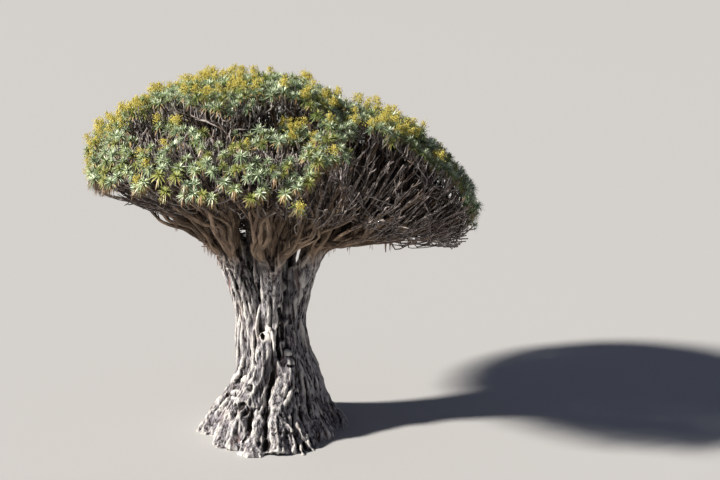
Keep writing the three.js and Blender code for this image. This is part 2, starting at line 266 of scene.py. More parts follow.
def bark_noise(wire, run, name, grain=1.0):
    share, offset, scale, detail, roughness = BARK_NOISES[name]
    return clouds(wire, stretched(wire, run, share, offset), scale * grain, detail, roughness)


def lines_of(noise):
    """1 on thin lines, where a noise crosses its middle value, and 0 between them."""
    return 1 - noise.maths("ABSOLUTE", noise - 0.5, 0.0).between(0.0, CRACK_WIDTH)


def bark(name, fibres, warm_heights, grain=1.0):
    material, wire, shader = blank_material(name)
    place = wire.node("ShaderNodeTexCoord", output="Object")
    run = place
    if fibres:
        run = wire.node("ShaderNodeAttribute", {"attribute_name": fibres}, output="Vector")
    hollow = wire.node("ShaderNodeAttribute", {"attribute_name": "hollow"}, output="Fac")
    height = wire.node("ShaderNodeSeparateXYZ", {}, {"Vector": place}, output="Z")
    fine = bark_noise(wire, run, "fine")
    broad = bark_noise(wire, run, "broad", grain)
    patch = clouds(wire, place, *BARK_PATCHES)
    red = bark_noise(wire, run, "red")
    seams = lines_of(bark_noise(wire, run, "seams", grain))
    slits = lines_of(bark_noise(wire, run, "slits", grain))
    crack = seams * CRACK_DEPTH + slits * patch.between(*BARK_MASKS["slit"]) * SLIT_DEPTH
    warm = (height + patch * 2.0 - 1.0).between(*warm_heights)
    # Painted highlight: points on ridges, found from the depth attribute, turn pale, and so do some
    # fibres.
    ridge = (fine * 0.5 - hollow * 0.55).between(*BARK_MASKS["ridge"])
    grey = (fine * 0.6 + broad * 0.4).between(*BARK_MASKS["pale"]).blend(DULL_BARK, PALE_BARK)
    grey = (ridge * 0.8).blend(grey, RIDGE_HIGHLIGHT_BARK)
    # Painted light on the boughs: a warm painted highlight on ridges and patches, painted shade
    # elsewhere.
    lit = ridge * 0.45 + broad.between(*BARK_MASKS["brown"]) * 0.55
    brown = lit.blend(WARM_BARK, WARM_PATCH_AND_HIGHLIGHT)
    grey = warm.blend(grey, brown)
    stained = red.between(*BARK_MASKS["stain"]) * (0.75 - ridge * 0.35)
    grey = stained.blend(grey, STAIN)
    # Painted shade: deep points in the clefts turn nearly black, and so do the cracks.
    cleft = (hollow + (fine - 0.5) * 0.9 + crack).between(*BARK_MASKS["cleft"])
    feed(shader, "Base Color", cleft.blend(grey, CRACK_AND_CLEFT_SHADE))
    feed(shader, "Roughness", 0.95 - fine.between(*BARK_MASKS["smooth"]) * 0.2)
    relief = fine * 0.7 + broad * 0.4 - crack - hollow * 0.3
    bump = wire.node("ShaderNodeBump", {}, {"Strength": 1.0, "Distance": BUMP_DEPTH, "Height": relief})
    feed(shader, "Normal", bump)
    return material


trunk_bark = bark("trunk_bark", None, TRUNK_WARM)
bough_bark = bark("bough_bark", "fibres", BOUGH_WARM, BOUGH_GRAIN)
print("bark:", trunk_bark.name, bough_bark.name)

# %% [markdown]
# ## Numbers and directions
# Everything from here on is placed by rules, so a few helpers come first: a unit vector, a point at
# a reach and angle, a bump that fades to both sides, a smooth step and a Bezier curve. NumPy arrays
# let one line place a thousand points.

# %% Helpers for places
UP = np.array([0.0, 0.0, 1.0])
FORWARD = np.array([0.0, 1.0, 0.0])
TURN = 2 * math.pi
UPRIGHT = 0.9
SEED = 20417
rng = np.random.default_rng(SEED)


def unit(vectors):
    return vectors / np.linalg.norm(vectors, axis=-1, keepdims=True)


def mix(a, b, t):
    return a + (b - a) * t


def fade(x, middle, width):
    return np.exp(-(((x - middle) / width) ** 2))


def step(x):
    x = np.clip(x, 0, 1)
    return x * x * (3 - 2 * x)


def angle_between(a, b):
    return np.arctan2(np.sin(a - b), np.cos(a - b))


def polar(reach, angle, height):
    return np.stack(np.broadcast_arrays(reach * np.cos(angle), reach * np.sin(angle), height), axis=-1)


def bezier(points, t):
    points = [np.asarray(point, float) for point in points]
    while len(points) > 1:
        points = [mix(a, b, t) for a, b in zip(points, points[1:])]
    return points[0]


def turned(vector, axis, angle):
    """A vector turned about an axis by an angle."""
    along = axis * np.dot(vector, axis)
    return along + (vector - along) * math.cos(angle) + np.cross(axis, vector) * math.sin(angle)


print("helpers ready")

# %% [markdown]
# ## Lumps
# Bark is never smooth. A value noise gives each cell of a grid a random number and blends them, so
# that a surface can be pushed in and out by a few centimetres. Squeezing Z before the call
# stretches the lumps upwards.

# %% Lumps
HASH = np.array([73856093, 19349663, 83492791])
SEED_STRIDE = 7919
SCRAMBLES = ((13, 1274126177), (15, 668265263))
LARGEST = 0x7FFFFFFF


def lumps(places, seed):
    """Smooth random numbers from -1 to 1 that change over about one unit."""
    cell = np.floor(places).astype(np.int64)
    part = step(places - cell)
    total = np.zeros(len(places))
    for corner in itertools.product((0, 1), repeat=3):
        key = (cell + corner) @ HASH + seed * SEED_STRIDE
        for shift, factor in SCRAMBLES:
            key = ((key ^ (key >> shift)) * factor) & LARGEST
        weight = np.prod(np.where(corner, part, 1 - part), axis=1)
        total += (key / (LARGEST // 2) - 1) * weight
    return total


print("lumps:", np.round(lumps(np.array([[0.5, 0.5, 0.5], [3.2, 1.1, 0.4]]), 1), 2))

# %% [markdown]
# ## The trunk's own shape
# The trunk narrows from a wide foot to a waist and leans a little at knee height. Flutes run up it
# and deepen into toes. These are the same sizes as the plain model's, so the bark sits where the
# plain trunk is.

# %% Trunk sizes
WAIST = 1.43
FOOT_SPREAD = 1.52
FOOT_HEIGHT = 1.85
FOOT_SHARPNESS = 1.35
FRONT_TOE = 0.3
LEAN = 0.3
LEAN_HEIGHT = 2.5
LEAN_LENGTH = 1.0
TOP_RADIUS = 1.05
TOP_POWER = 1.5
TOP_START = 5.6
TRUNK_TOP = 7.7
NARROW_FLUTES = 11
BROAD_FLUTES = 7
BROAD_SHARE = 0.5
BROAD_PHASE = 1.3
FLUTE_DEPTH = 0.055
TOE_DEPTH = 0.09
TOE_HEIGHT = 1.3
WINDING = 0.25
WINDING_HEIGHT = 2.6


def trunk_radius(height):
    foot = FOOT_SPREAD * np.exp(-((np.maximum(height, 0) / FOOT_HEIGHT) ** FOOT_SHARPNESS))
    closing = np.clip((height - TOP_START) / (TRUNK_TOP - TOP_START), 0, 1)
    return mix(WAIST, TOP_RADIUS, closing**TOP_POWER) + foot


def trunk_lean(height):
    return LEAN * fade(height, LEAN_HEIGHT, LEAN_LENGTH)


def on_trunk(angle, height, out=0.0):
    """A point at an angle and height, so far out of the trunk's fluted surface."""
    wound = angle + WINDING * np.sin(height / WINDING_HEIGHT)
    toe = np.exp(-np.maximum(height, 0) / TOE_HEIGHT)
    waves = np.cos(NARROW_FLUTES * wound) + BROAD_SHARE * np.cos(BROAD_FLUTES * wound + BROAD_PHASE)
    front = 1 + FRONT_TOE * toe * np.maximum(0, -np.sin(angle)) ** 2
    reach = trunk_radius(height) * (1 + mix(FLUTE_DEPTH, TOE_DEPTH, toe) * waves) * front + out
    point = polar(reach, angle, height)
    point[..., 0] += trunk_lean(height)
    return point


print("trunk radius at 0, 2 and 5 m:", [round(float(trunk_radius(h)), 2) for h in (0.0, 2.0, 5.0)])

# %% [markdown]
# ## Heads
# Above the waist the trunk parts into short thick limbs. Seven stand in a ring and lean out, four
# stand inside them and one in the middle. Each follows a quadratic Bezier curve from inside the
# trunk over a knee to a tip.

# %% Heads
HEADS = [
    {
        "kind": "outer",
        "count": 7,
        "first": math.radians(-85),
        "foot": (0.90, 4.30),
        "knee": (1.12, 6.50),
        "tip": (2.12, 8.15),
        "radii": (0.62, 0.48),
    },
    {
        "kind": "inner",
        "count": 4,
        "first": math.radians(-40),
        "foot": (0.35, 6.0),
        "knee": (0.52, 7.60),
        "tip": (0.90, 9.0),
        "radii": (0.45, 0.30),
    },
    {
        "kind": "centre",
        "count": 1,
        "first": math.radians(80),
        "foot": (0.02, 6.0),
        "knee": (0.06, 7.70),
        "tip": (0.09, 9.15),
        "radii": (0.45, 0.30),
    },
]


def lay_out_heads():
    heads = []
    for kind in HEADS:
        for k in range(kind["count"]):
            angle = kind["first"] + k * TURN / kind["count"]
            spots = (kind["foot"], kind["knee"], kind["tip"])
            curve = [polar(reach, angle, height) for reach, height in spots]
            way = unit(curve[2] - curve[1])
            heads.append(SimpleNamespace(angle=angle, curve=curve, way=way, **kind))
    return heads


heads = lay_out_heads()
print("heads:", len(heads))

# %% [markdown]
# ## The crown's plan
# The crown's outer surface is one formula of the angle round the tree and the rise from the widest
# ring to the crest. The crown leans: its rim is lower at +X, and the front left has a lower tier.
# Twenty-six masses share the space out as cones from one spring point, and each mass has its own
# bough.

# %% Crown sizes
CROWN_X = 0.6
SPRING = np.array([CROWN_X, 0.0, 7.9])
REACH = 9.15
DEPTH_SHARE = 0.95
TOP = 16.5
RIM_HEIGHT = 11.45
RIM_TILT = 1.15
FULLNESS = 2.0
FULLNESS_TILT = 0.5
UNDERHANG = 3.2
LIP_RISE = math.radians(-22)
FRONT_RISE = math.radians(31)
OPEN_RISE = math.radians(46)
OPEN_ANGLE = math.radians(-42)
OPEN_WIDTH = math.radians(30)
TIER_DROP = 1.35
TIER_RIGHT = 0.3
TIER_BACK = -0.1
CREST = math.radians(90)
# Each ring: its name, the heads it grows from, the number of masses, the first angle, the share of
# the way from the lip to the crest, and where its stems start: reach, spread, height, tilt and how far
# the front ones are raised.
RINGS = [
    ("rim", "outer", 14, math.radians(-97.86), 0.17, (5.0, 0.5, 9.2, 0.35, 1.25)),
    ("shoulder", "outer", 7, math.radians(-85), 0.53, (3.5, 0.0, 11.4, 0.4, 0.0)),
    ("top", "inner", 4, math.radians(-40), 0.79, (1.9, 0.0, 12.3, 0.2, 0.0)),
    ("crest", "centre", 1, 0.0, 1.0, (0.0, 0.0, 12.3, 0.0, 0.0)),
]


def canopy_point(angle, rise, drop=0.0):
    side = np.cos(angle)
    rim = RIM_HEIGHT - RIM_TILT * side
    fullness = FULLNESS - FULLNESS_TILT * side
    above = rise > 0
    reach = REACH * np.maximum(np.cos(rise), 0) ** np.where(above, 2 / fullness, 1)
    height = rim + np.sin(rise) * np.where(above, TOP - drop - rim, UNDERHANG)
    point = polar(reach, angle, height)
    point[..., 1] *= DEPTH_SHARE
    point[..., 0] += CROWN_X
    return point


def front_lip(angle):
    return LIP_RISE + FRONT_RISE * np.maximum(0, -np.sin(angle))


def lowest_rise(angle):
    return front_lip(angle) + OPEN_RISE * fade(angle_between(angle, OPEN_ANGLE), 0, OPEN_WIDTH)


def round_the_tree(rule):
    """A rule's answers in degrees at eight angles round the tree."""
    return [round(float(np.degrees(rule(k * TURN / 8))), 1) for k in range(8)]


print("crown: lip at", round_the_tree(lowest_rise), "degrees")

# %% [markdown]
# ## Masses, collars and stems
# A bough leaves an outer head from a collar of its own, so that the boughs of one head fan out and
# don't cross. It ends where its mass's stem starts. Both ends have a direction, and the bough's
# curve obeys both.

# %% Masses
COLLAR_LENGTH = 0.85
COLLAR_OFFSET = 0.20
COLLAR_SPLAY = 0.42
COLLAR_FAN = math.radians(108)
COLLAR_RADIUS = 0.228
COLLAR_FLARE = 1.3
COLLAR_SUNK = 0.42
BOUGH_TURN = 0.4


def plan_mass(ring, k):
    name, kind, count, first, climb, stem = ring
    angle = first + k * TURN / count
    low_tier = name == "shoulder" and math.cos(angle) < TIER_RIGHT and math.sin(angle) < TIER_BACK
    drop = TIER_DROP if low_tier else 0.0
    aim = canopy_point(angle, mix(lowest_rise(angle), CREST, climb), drop)
    near = [head for head in heads if head.kind == kind]
    head = min(near, key=lambda one: abs(angle_between(one.angle, angle)))
    label = f"{name}_{k + 1:02d}" if count > 1 else name
    side = math.cos(angle)
    reach, spread, height, tilt, raised = stem
    start = polar(reach + spread * side, angle, height - tilt * side + raised * max(0, -math.sin(angle)))
    start[0] += CROWN_X
    return SimpleNamespace(
        name=label,
        ring=name,
        angle=angle,
        drop=drop,
        head=head,
        way=unit(aim - SPRING),
        start=start,
        aim=aim,
        tufts=[],
    )


def place_foot(mass):
    """The end of the mass's head, or of its own collar there, and the way it points."""
    tip = mass.head.curve[2]
    lean = mass.head.way
    mass.foot, mass.foot_way, mass.collar = tip, lean, None
    if mass.head.kind == "outer":
        side = np.sign(angle_between(mass.head.angle, mass.angle)) if mass.ring == "rim" else 0
        sideways = turned(unit(UP - lean * lean[2]), lean, side * COLLAR_FAN)
        base = tip + sideways * COLLAR_OFFSET
        mass.foot_way = unit(lean + sideways * COLLAR_SPLAY)
        mass.foot = base + mass.foot_way * COLLAR_LENGTH
        mass.collar = base - mass.foot_way * COLLAR_SUNK
    mass.start_way = unit(mix(unit(mass.start - mass.foot), unit(mass.aim - mass.start), BOUGH_TURN))


masses = [plan_mass(ring, k) for ring in RINGS for k in range(ring[2])]
for mass in masses:
    place_foot(mass)
print("masses:", len(masses), "with", sum(mass.collar is not None for mass in masses), "collars")

# %% [markdown]
# ## One round bar for every limb
# Strands, heads and boughs are all limbs. Instead of building each from nothing, an upright bar is
# modelled once for each number of sides: a filled circle, extruded ring by ring. Each limb is a
# copy with its own mesh, carried onto its path: a point's height in the bar says how far along the
# path it goes, and its X and Y say on which side.

# %% The bar and how it is carried
def bar(name, sides, rings):
    bpy.ops.mesh.primitive_circle_add(vertices=sides, radius=1, fill_type="NGON")
    made = bpy.context.object
    made.name = name
    bpy.ops.object.mode_set(mode="EDIT")
    bpy.ops.mesh.select_all(action="SELECT")
    for _ in range(rings):
        bpy.ops.mesh.extrude_region_move(TRANSFORM_OT_translate={"value": (0, 0, 1 / rings)})
    bpy.ops.mesh.select_all(action="SELECT")
    bpy.ops.mesh.normals_make_consistent(inside=False)
    bpy.ops.object.mode_set(mode="OBJECT")
    return made


def places_of(piece):
    places = np.empty(len(piece.data.vertices) * 3)
    piece.data.vertices.foreach_get("co", places)
    return places.reshape(-1, 3)


def move_to(piece, places):
    piece.data.vertices.foreach_set("co", np.ascontiguousarray(places).ravel())
    piece.data.update()


def frames_along(path):
    """Two directions square to the path at each of its points, with no sudden twist."""
    tangents = unit(np.gradient(path, axis=0))
    normal = FORWARD if abs(tangents[0][2]) > UPRIGHT else UP
    normals = []
    for tangent in tangents:
        normal = unit(normal - tangent * np.dot(normal, tangent))
        normals.append(normal)
    normals = np.array(normals)
    return normals, np.cross(tangents, normals)


def sample(values, run):
    """Values along a path at shares of its length from 0 to 1."""
    values = np.asarray(values, float)
    marks = np.linspace(0, 1, len(values))
    if values.ndim == 1:
        return np.interp(run, marks, values)
    return np.stack([np.interp(run, marks, column) for column in values.T], axis=1)


def carry(pattern, name, path, radii, ridge=None):
    made = pattern.copy()
    made.data = pattern.data.copy()
    made.name = made.data.name = name
    bpy.context.scene.collection.objects.link(made)
    local = places_of(made)
    run = np.clip(local[:, 2], 0, 1)
    across, side = frames_along(path)
    radius = sample(radii, run)
    if ridge is not None:
        radius = radius * (1 + ridge(np.arctan2(local[:, 1], local[:, 0]), run))
    places = sample(path, run)
    places += sample(across, run) * (local[:, 0] * radius)[:, None]
    places += sample(side, run) * (local[:, 1] * radius)[:, None]
    move_to(made, places)
    return made


strand_bar = bar("strand_bar", 8, 30)
thick_bar = bar("thick_bar", 20, 30)
print("bars:", len(strand_bar.data.vertices), "and", len(thick_bar.data.vertices), "points")

# %% [markdown]
# ## The trunk's core
# The core is turned up from one circle: extruded from height to height and resized at each, as on a
# lathe. It is slimmer than the finished trunk, because strands will cover it, and above the waist
# it draws in, so that the dark gaps between the heads stay open. Its flutes are then pushed in and
# out by the trunk's own formula.

# %% The trunk's core
CORE_HEIGHTS = [0.0, 0.2, 0.5, 0.9, 1.4, 1.9, 2.5, 3.1, 3.8, 4.5, 5.2, 5.8, 6.4, 7.0]
CORE_SUNK = 0.25
CORE_TOP = 0.55
CORE_SIDES = 88
CORE_NARROWS_FROM = 4.2
CORE_NARROWS_OVER = 2.2


def core_radius(height):
    narrowed = step((height - CORE_NARROWS_FROM) / CORE_NARROWS_OVER)
    return mix(trunk_radius(height) - CORE_SUNK, CORE_TOP, narrowed)


def turn_core():
    first = core_radius(CORE_HEIGHTS[0])
    bpy.ops.mesh.primitive_circle_add(vertices=CORE_SIDES, radius=first, fill_type="NGON")
    core = bpy.context.object
    core.name = "trunk_with_bark"
    bpy.ops.object.mode_set(mode="EDIT")
    bpy.ops.mesh.select_all(action="SELECT")
    for low, high in zip(CORE_HEIGHTS, CORE_HEIGHTS[1:]):
        bpy.ops.mesh.extrude_region_move(TRANSFORM_OT_translate={"value": (0, 0, high - low)})
        growth = core_radius(high) / core_radius(low)
        bpy.ops.transform.resize(value=(growth, growth, 1), center_override=(0, 0, high))
    bpy.ops.mesh.select_all(action="SELECT")
    bpy.ops.mesh.normals_make_consistent(inside=False)
    bpy.ops.object.mode_set(mode="OBJECT")
    return core


def flute_core(core):
    places = places_of(core)
    angle = np.arctan2(places[:, 1], places[:, 0])
    height = places[:, 2]
    reach = np.hypot(places[:, 0], places[:, 1])
    surface = on_trunk(angle, height)
    surface[:, 0] -= trunk_lean(height)
    share = np.hypot(surface[:, 0], surface[:, 1]) / trunk_radius(height)
    places[:, :2] *= share[:, None]
    places[:, 0] += trunk_lean(height)
    move_to(core, places)
    print("core:", len(places), "points, reach", round(float(reach.max()), 2), "m")


core = turn_core()
flute_core(core)

# %% [markdown]
# ## Strands
# Aerial roots once hung from the crown, reached the ground and swelled until they touched. They
# read as ropes that wind down the trunk, join and part. Each strand here follows one head's side,
# slides onto the trunk below it and wanders as it goes down. It thickens towards the foot with the
# trunk's own girth. The front head and the one right of it are smooth, with a few broad strands
# sunk deep. The one at the left is a lattice of thin ones with gaps behind them.

# %% Strands from the heads to the ground
# Each kind: how many strands a head has, their sizes, how deep they are sunk in sizes, and their swing.
STRAND_KINDS = {
    "smooth": (8, (0.09, 0.18), (0.1, 0.6), 0.035),
    "lattice": (18, (0.045, 0.10), (-0.8, 0.3), 0.09),
    "plain": (9, (0.07, 0.17), (-0.3, 0.5), 0.055),
}
HEAD_STRANDS = ["smooth", "smooth", "plain", "plain", "plain", "plain", "lattice"]
STRAND_SPREAD = math.radians(140)
SECTOR_SHARE = 0.19
HANDOVER_FROM = 4.3
HANDOVER_LENGTH = 1.7
STEPS = 40
HEAD_SAMPLES = 60
HEAD_SUNK = 0.35
HEAD_SWING = 1.5
GIRTH_POWER = 0.9
GIRTH_SWING = 0.16
TOP_SHARE = 0.8
WANDER_RATES = (0.4, 1.0)
STRAND_SPOTS = (0.15, 0.85)
STRAND_SIZE_POWER = 1.3
THINNEST_STRAND = 0.035
WHOLE_SHARE = 0.8
STRAND_FOOT = -0.25
LATE_FEET = (1.2, 4.5)
TOP_GAP = (0.0, 0.5)
EARLY_TOPS = (5.0, 7.0)


def wander(count, size):
    """A smooth random swing along a strand."""
    t = np.linspace(0, 1, count)
    swing = sum(np.sin(TURN * (rng.uniform(*WANDER_RATES) * k * t + rng.random())) / k for k in (1, 2, 4))
    return size * swing


def on_head(head, spin, height, sunk):
    """A point on the side of a head at a height. The spin is counted from the way it leans."""
    line = bezier(head.curve, np.linspace(0, 1, HEAD_SAMPLES)[:, None])
    middle = np.stack([np.interp(height, line[:, 2], line[:, axis]) for axis in (0, 1)], axis=1)
    radius = np.interp(height, line[:, 2], np.linspace(*head.radii, HEAD_SAMPLES)) - sunk
    places = polar(radius, head.angle + spin, height)
    places[:, :2] += middle
    return places


def strand(name, head, spin, heights, size, sunk, swing):
    height = np.linspace(*heights, STEPS)
    angle = head.angle + spin * SECTOR_SHARE + wander(STEPS, swing)
    handover = step((height - HANDOVER_FROM) / HANDOVER_LENGTH)
    low_path = on_trunk(angle, height, -sunk * size)
    high_path = on_head(head, spin + wander(STEPS, swing * HEAD_SWING), height, (sunk + HEAD_SUNK) * size)
    path = mix(low_path, high_path, handover[:, None])
    girth = (trunk_radius(height) / WAIST) ** GIRTH_POWER
    radii = size * girth * (1 + wander(STEPS, GIRTH_SWING)) * mix(1, TOP_SHARE, handover)
    return carry(strand_bar, name, path, np.maximum(radii, THINNEST_STRAND))


def head_strands():
    made = []
    outer = [head for head in heads if head.kind == "outer"]
    for number, (head, kind) in enumerate(zip(outer, HEAD_STRANDS)):
        count, sizes, sinks, swing = STRAND_KINDS[kind]
        for k in range(count):
            spin = mix(-STRAND_SPREAD, STRAND_SPREAD, (k + rng.uniform(*STRAND_SPOTS)) / count)
            low = STRAND_FOOT if rng.random() < WHOLE_SHARE else rng.uniform(*LATE_FEET)
            whole = rng.random() < WHOLE_SHARE
            high = head.curve[2][2] - rng.uniform(*TOP_GAP) if whole else rng.uniform(*EARLY_TOPS)
            size = mix(*sizes, rng.random() ** STRAND_SIZE_POWER)
            sunk = rng.uniform(*sinks)
            made.append(strand(f"strand_{number}_{k}", head, spin, (low, high), size, sunk, swing))
    return made


strands = head_strands()
print("strands:", len(strands))

# %% [markdown]
# ## Ropes over the flare
# Where the trunk widens, a hundred more ropes start part way down and fan out over the toes. Finer
# ones lie close together in two patches, one at the front right and one at the front left. The
# upper end of each dips into the trunk, so that it seems to grow out of the bark.

# %% Ropes that fan over the flare
FLARE_ROPES = 100
FLARE_TOP = (0.9, 3.4)
FLARE_RADIUS = (0.05, 0.12)
FLARE_SIZE_POWER = 1.4
FLARE_FOOT = -0.2
FLARE_POWER = 0.8
FLARE_DRIFT = 0.10
FLARE_SWING = 0.04
ROPE_SUNK = (-0.5, 0.5)
ROPE_DIP = 1.1
ROPE_DIP_LENGTH = 0.6
ROPE_UNEVEN = 0.08
THINNEST_ROPE = 0.03
FINE_ROPES = {"right": (math.radians(-28), 28), "left": (math.radians(-138), 24)}
FINE_SPACING = 0.034
FINE_TOP = (2.2, 4.2)
FINE_RADIUS = (0.045, 0.075)
FINE_DRIFT = 0.05
FINE_SWING = 0.02


def flare_rope(name, first, high, size, drift, swing):
    height = np.linspace(FLARE_FOOT, high, STEPS)
    angle = first + drift * (high - height) / high + wander(STEPS, swing)
    dip = step((height - high + ROPE_DIP_LENGTH) / ROPE_DIP_LENGTH)
    sunk = mix(rng.uniform(*ROPE_SUNK), ROPE_DIP, dip)
    path = on_trunk(angle, height, -sunk * size)
    radii = size * (trunk_radius(height) / WAIST) ** FLARE_POWER * (1 + wander(STEPS, ROPE_UNEVEN))
    return carry(strand_bar, name, path, np.maximum(radii, THINNEST_ROPE))


for k in range(FLARE_ROPES):
    first = (k + rng.random()) * TURN / FLARE_ROPES
    size = mix(*FLARE_RADIUS, rng.random() ** FLARE_SIZE_POWER)
    high = rng.uniform(*FLARE_TOP)
    drift = rng.normal(0, FLARE_DRIFT)
    strands.append(flare_rope(f"flare_rope_{k}", first, high, size, drift, FLARE_SWING))
for side, (middle, count) in FINE_ROPES.items():
    for k in range(count):
        first = middle + (k - count / 2 + rng.random()) * FINE_SPACING
        size = rng.uniform(*FINE_RADIUS)
        high = rng.uniform(*FINE_TOP)
        strands.append(flare_rope(f"fine_rope_{side}_{k}", first, high, size, FINE_DRIFT, FINE_SWING))
print("with the flare's ropes:", len(strands))

# %% [markdown]
# ## Root columns
# Two thick roots stand against the front like figures in robes, each with a rounded knob on top. A
# column is a thick bar on a curve that winds down to the flare, wrapped in ropes of its own. Its
# shoulders draw in under the knob, which is a lumpy ball, a little taller than it is wide.

# %% Root columns
ROOT_COLUMNS = [
    {"angle": math.radians(-97), "top": 5.05, "knob": 0.27, "radii": (0.74, 0.40), "foot_reach": 3.15},
    {"angle": math.radians(-62), "top": 4.20, "knob": 0.24, "radii": (0.74, 0.27), "foot_reach": 3.55},
]
COLUMN_TWIST = math.radians(-23)
COLUMN_SHARE = 0.97
COLUMN_FOOT = -0.2
# Each point of a column, from low to high: its share of the height, of the twist, and how far out.
COLUMN_SPOTS = [(0.25, 1, 0.15), (0.5, 0.9, 0.06), (0.72, 0.4, 0.0), (0.92, 0, 0.0)]
SHOULDERS = (0.92, 0.78, 0.55)
COLUMN_ROPES = 8
COLUMN_ROPE = 0.06
COLUMN_WIND = 0.9
WRAP_SUNK = 0.25
WRAP_SIZES = (0.6, 1.2)
WRAP_SWING = 0.16
WRAP_UNEVEN = 0.15
THINNEST_WRAP = 0.02
KNOB_CLIMB = 0.93
KNOB_OUT = 0.5
KNOB_SIZE = 0.9
KNOB_LUMPS = 0.11
KNOB_LUMPS_SCALE = 5.0
KNOB_STRETCH = (1, 1, 1.15)


def against(column, climb, twisted, out):
    height = column["top"] * climb
    angle = column["angle"] + twisted * COLUMN_TWIST
    point = polar(trunk_radius(height) + out, angle, height)
    point[0] += trunk_lean(height)
    return point


def smooth_path(points, steps):
    """A curve through points, as a chain of Bezier curves whose handles follow the neighbours."""
    points = np.asarray(points, float)
    slopes = np.gradient(points, axis=0) / 3
    runs = []
    for k in range(len(points) - 1):
        t = np.linspace(0, 1, steps)[:, None]
        handles = [points[k], points[k] + slopes[k], points[k + 1] - slopes[k + 1], points[k + 1]]
        runs.append(bezier(handles, t)[: steps if k == len(points) - 2 else -1])
    return np.concatenate(runs)


def column_path(column):
    foot = polar(column["foot_reach"], column["angle"] + COLUMN_TWIST, COLUMN_FOOT)
    return smooth_path([foot] + [against(column, *spot) for spot in COLUMN_SPOTS], 12)


def wrap(path, radii, count, size, name, wind):
    """Ropes that wind round a path at its surface."""
    across, side = frames_along(path)
    run = np.linspace(0, 1, len(path))
    out = sample(radii, run) - WRAP_SUNK * size
    ropes = []
    for k in range(count):
        turn = (k + rng.random()) * TURN / count + wind * run + wander(len(path), WRAP_SWING)
        line = path + across * (np.cos(turn) * out)[:, None] + side * (np.sin(turn) * out)[:, None]
        thick = size * rng.uniform(*WRAP_SIZES) * (1 + wander(len(path), WRAP_UNEVEN))
        ropes.append(carry(strand_bar, f"{name}_{k}", line, np.maximum(thick, THINNEST_WRAP)))
    return ropes


def knob(column, name):
    place = against(column, KNOB_CLIMB, 0, column["knob"] * KNOB_OUT)
    bpy.ops.mesh.primitive_ico_sphere_add(subdivisions=3, radius=column["knob"] * KNOB_SIZE)
    made = bpy.context.object
    made.name = name
    places = places_of(made)
    places *= 1 + KNOB_LUMPS * lumps(places * KNOB_LUMPS_SCALE, 3)[:, None]
    move_to(made, places * KNOB_STRETCH + place)
    return made


def root_columns():
    made = []
    for number, column in enumerate(ROOT_COLUMNS):
        path = column_path(column)
        radii = np.linspace(*column["radii"], 20)
        radii[-len(SHOULDERS):] *= SHOULDERS
        made.append(carry(thick_bar, f"column_{number}", path, radii * COLUMN_SHARE))
        made += wrap(path, radii, COLUMN_ROPES, COLUMN_ROPE, f"column_{number}_rope", COLUMN_WIND)
        made.append(knob(column, f"knob_{number}"))
    return made


columns = root_columns()
print("root columns:", len(columns), "pieces")

# %% [markdown]
# ## Braids, ledges and knots
# Some ropes don't run straight down. A braid twists along the left edge, a ragged ledge crosses the
# flare under it, drapes hang from the right column, an arch bends round the left column's knob, a
# strut runs down from the front fork and three thin ropes lace the gaps. Each is a path of a few
# points given as an angle round the trunk in degrees, a height and how far out it stands. Knots are
# rings: two high on the left, one on the right column and one that curls round the hollow of the
# left knob.

# %% Braids, ledges and knots
# Each rope: its radius, then the angle, the height and how far out, from its first point to its last.
CROSSING_ROPES = {
    "braid_a": (
        0.12,
        [(-127, 3.7, 0.0), (-150, 3.0, 0.10), (-172, 2.1, 0.12), (-185, 1.3, 0.1), (-190, 0.1, 0.1)],
    ),
    "braid_b": (
        0.10,
        [(-136, 3.9, 0.0), (-146, 3.2, 0.14), (-168, 2.5, 0.02), (-180, 1.7, 0.14), (-196, 0.2, 0.1)],
    ),
    "braid_c": (
        0.08,
        [(-120, 3.1, 0.0), (-140, 2.6, 0.12), (-158, 2.2, 0.05), (-170, 1.5, 0.12), (-176, 0.4, 0.1)],
    ),
    "ledge_a": (
        0.13,
        [(-163, 1.75, 0.0), (-148, 1.95, 0.14), (-130, 2.05, 0.2), (-114, 2.1, 0.2), (-101, 2.2, 0.0)],
    ),
    "ledge_b": (
        0.09,
        [(-156, 1.6, 0.0), (-140, 1.8, 0.2), (-122, 1.9, 0.26), (-108, 2.0, 0.18), (-100, 2.4, 0.0)],
    ),
    "drape_a": (
        0.10,
        [(-66, 3.1, 0.1), (-80, 2.5, 0.3), (-91, 1.95, 0.3), (-88, 1.5, 0.2), (-86, 0.4, 0.1)],
    ),
    "drape_b": (
        0.09,
        [(-64, 2.8, 0.2), (-76, 2.1, 0.36), (-84, 1.6, 0.3), (-79, 1.1, 0.2), (-80, 0.2, 0.1)],
    ),
    "drape_c": (
        0.08,
        [(-92, 1.7, 0.1), (-83, 1.4, 0.3), (-75, 1.1, 0.3), (-71, 0.7, 0.2), (-73, 0.1, 0.1)],
    ),
    "arch": (
        0.055,
        [(-84, 3.9, 0.1), (-83, 4.5, 0.22), (-86, 5.0, 0.3), (-92, 5.15, 0.26), (-98, 5.2, 0.05)],
    ),
    "strut": (
        0.075,
        [(-100, 6.6, -0.1), (-106, 6.0, 0.03), (-111, 5.2, 0.03), (-109, 4.4, 0.0), (-104, 3.2, 0.0)],
    ),
    "lace_a": (
        0.07,
        [(-150, 6.9, 0.1), (-140, 6.1, 0.12), (-131, 5.3, 0.1), (-126, 4.4, 0.06), (-131, 3.4, 0.0)],
    ),
    "lace_b": (
        0.06,
        [(-120, 6.9, 0.0), (-128, 6.2, 0.12), (-137, 5.3, 0.12), (-143, 4.3, 0.08), (-141, 3.3, 0.0)],
    ),
    "lace_c": (
        0.06,
        [(-70, 6.2, 0.0), (-76, 5.5, 0.1), (-84, 4.7, 0.12), (-82, 3.9, 0.08), (-78, 3.0, 0.0)],
    ),
}
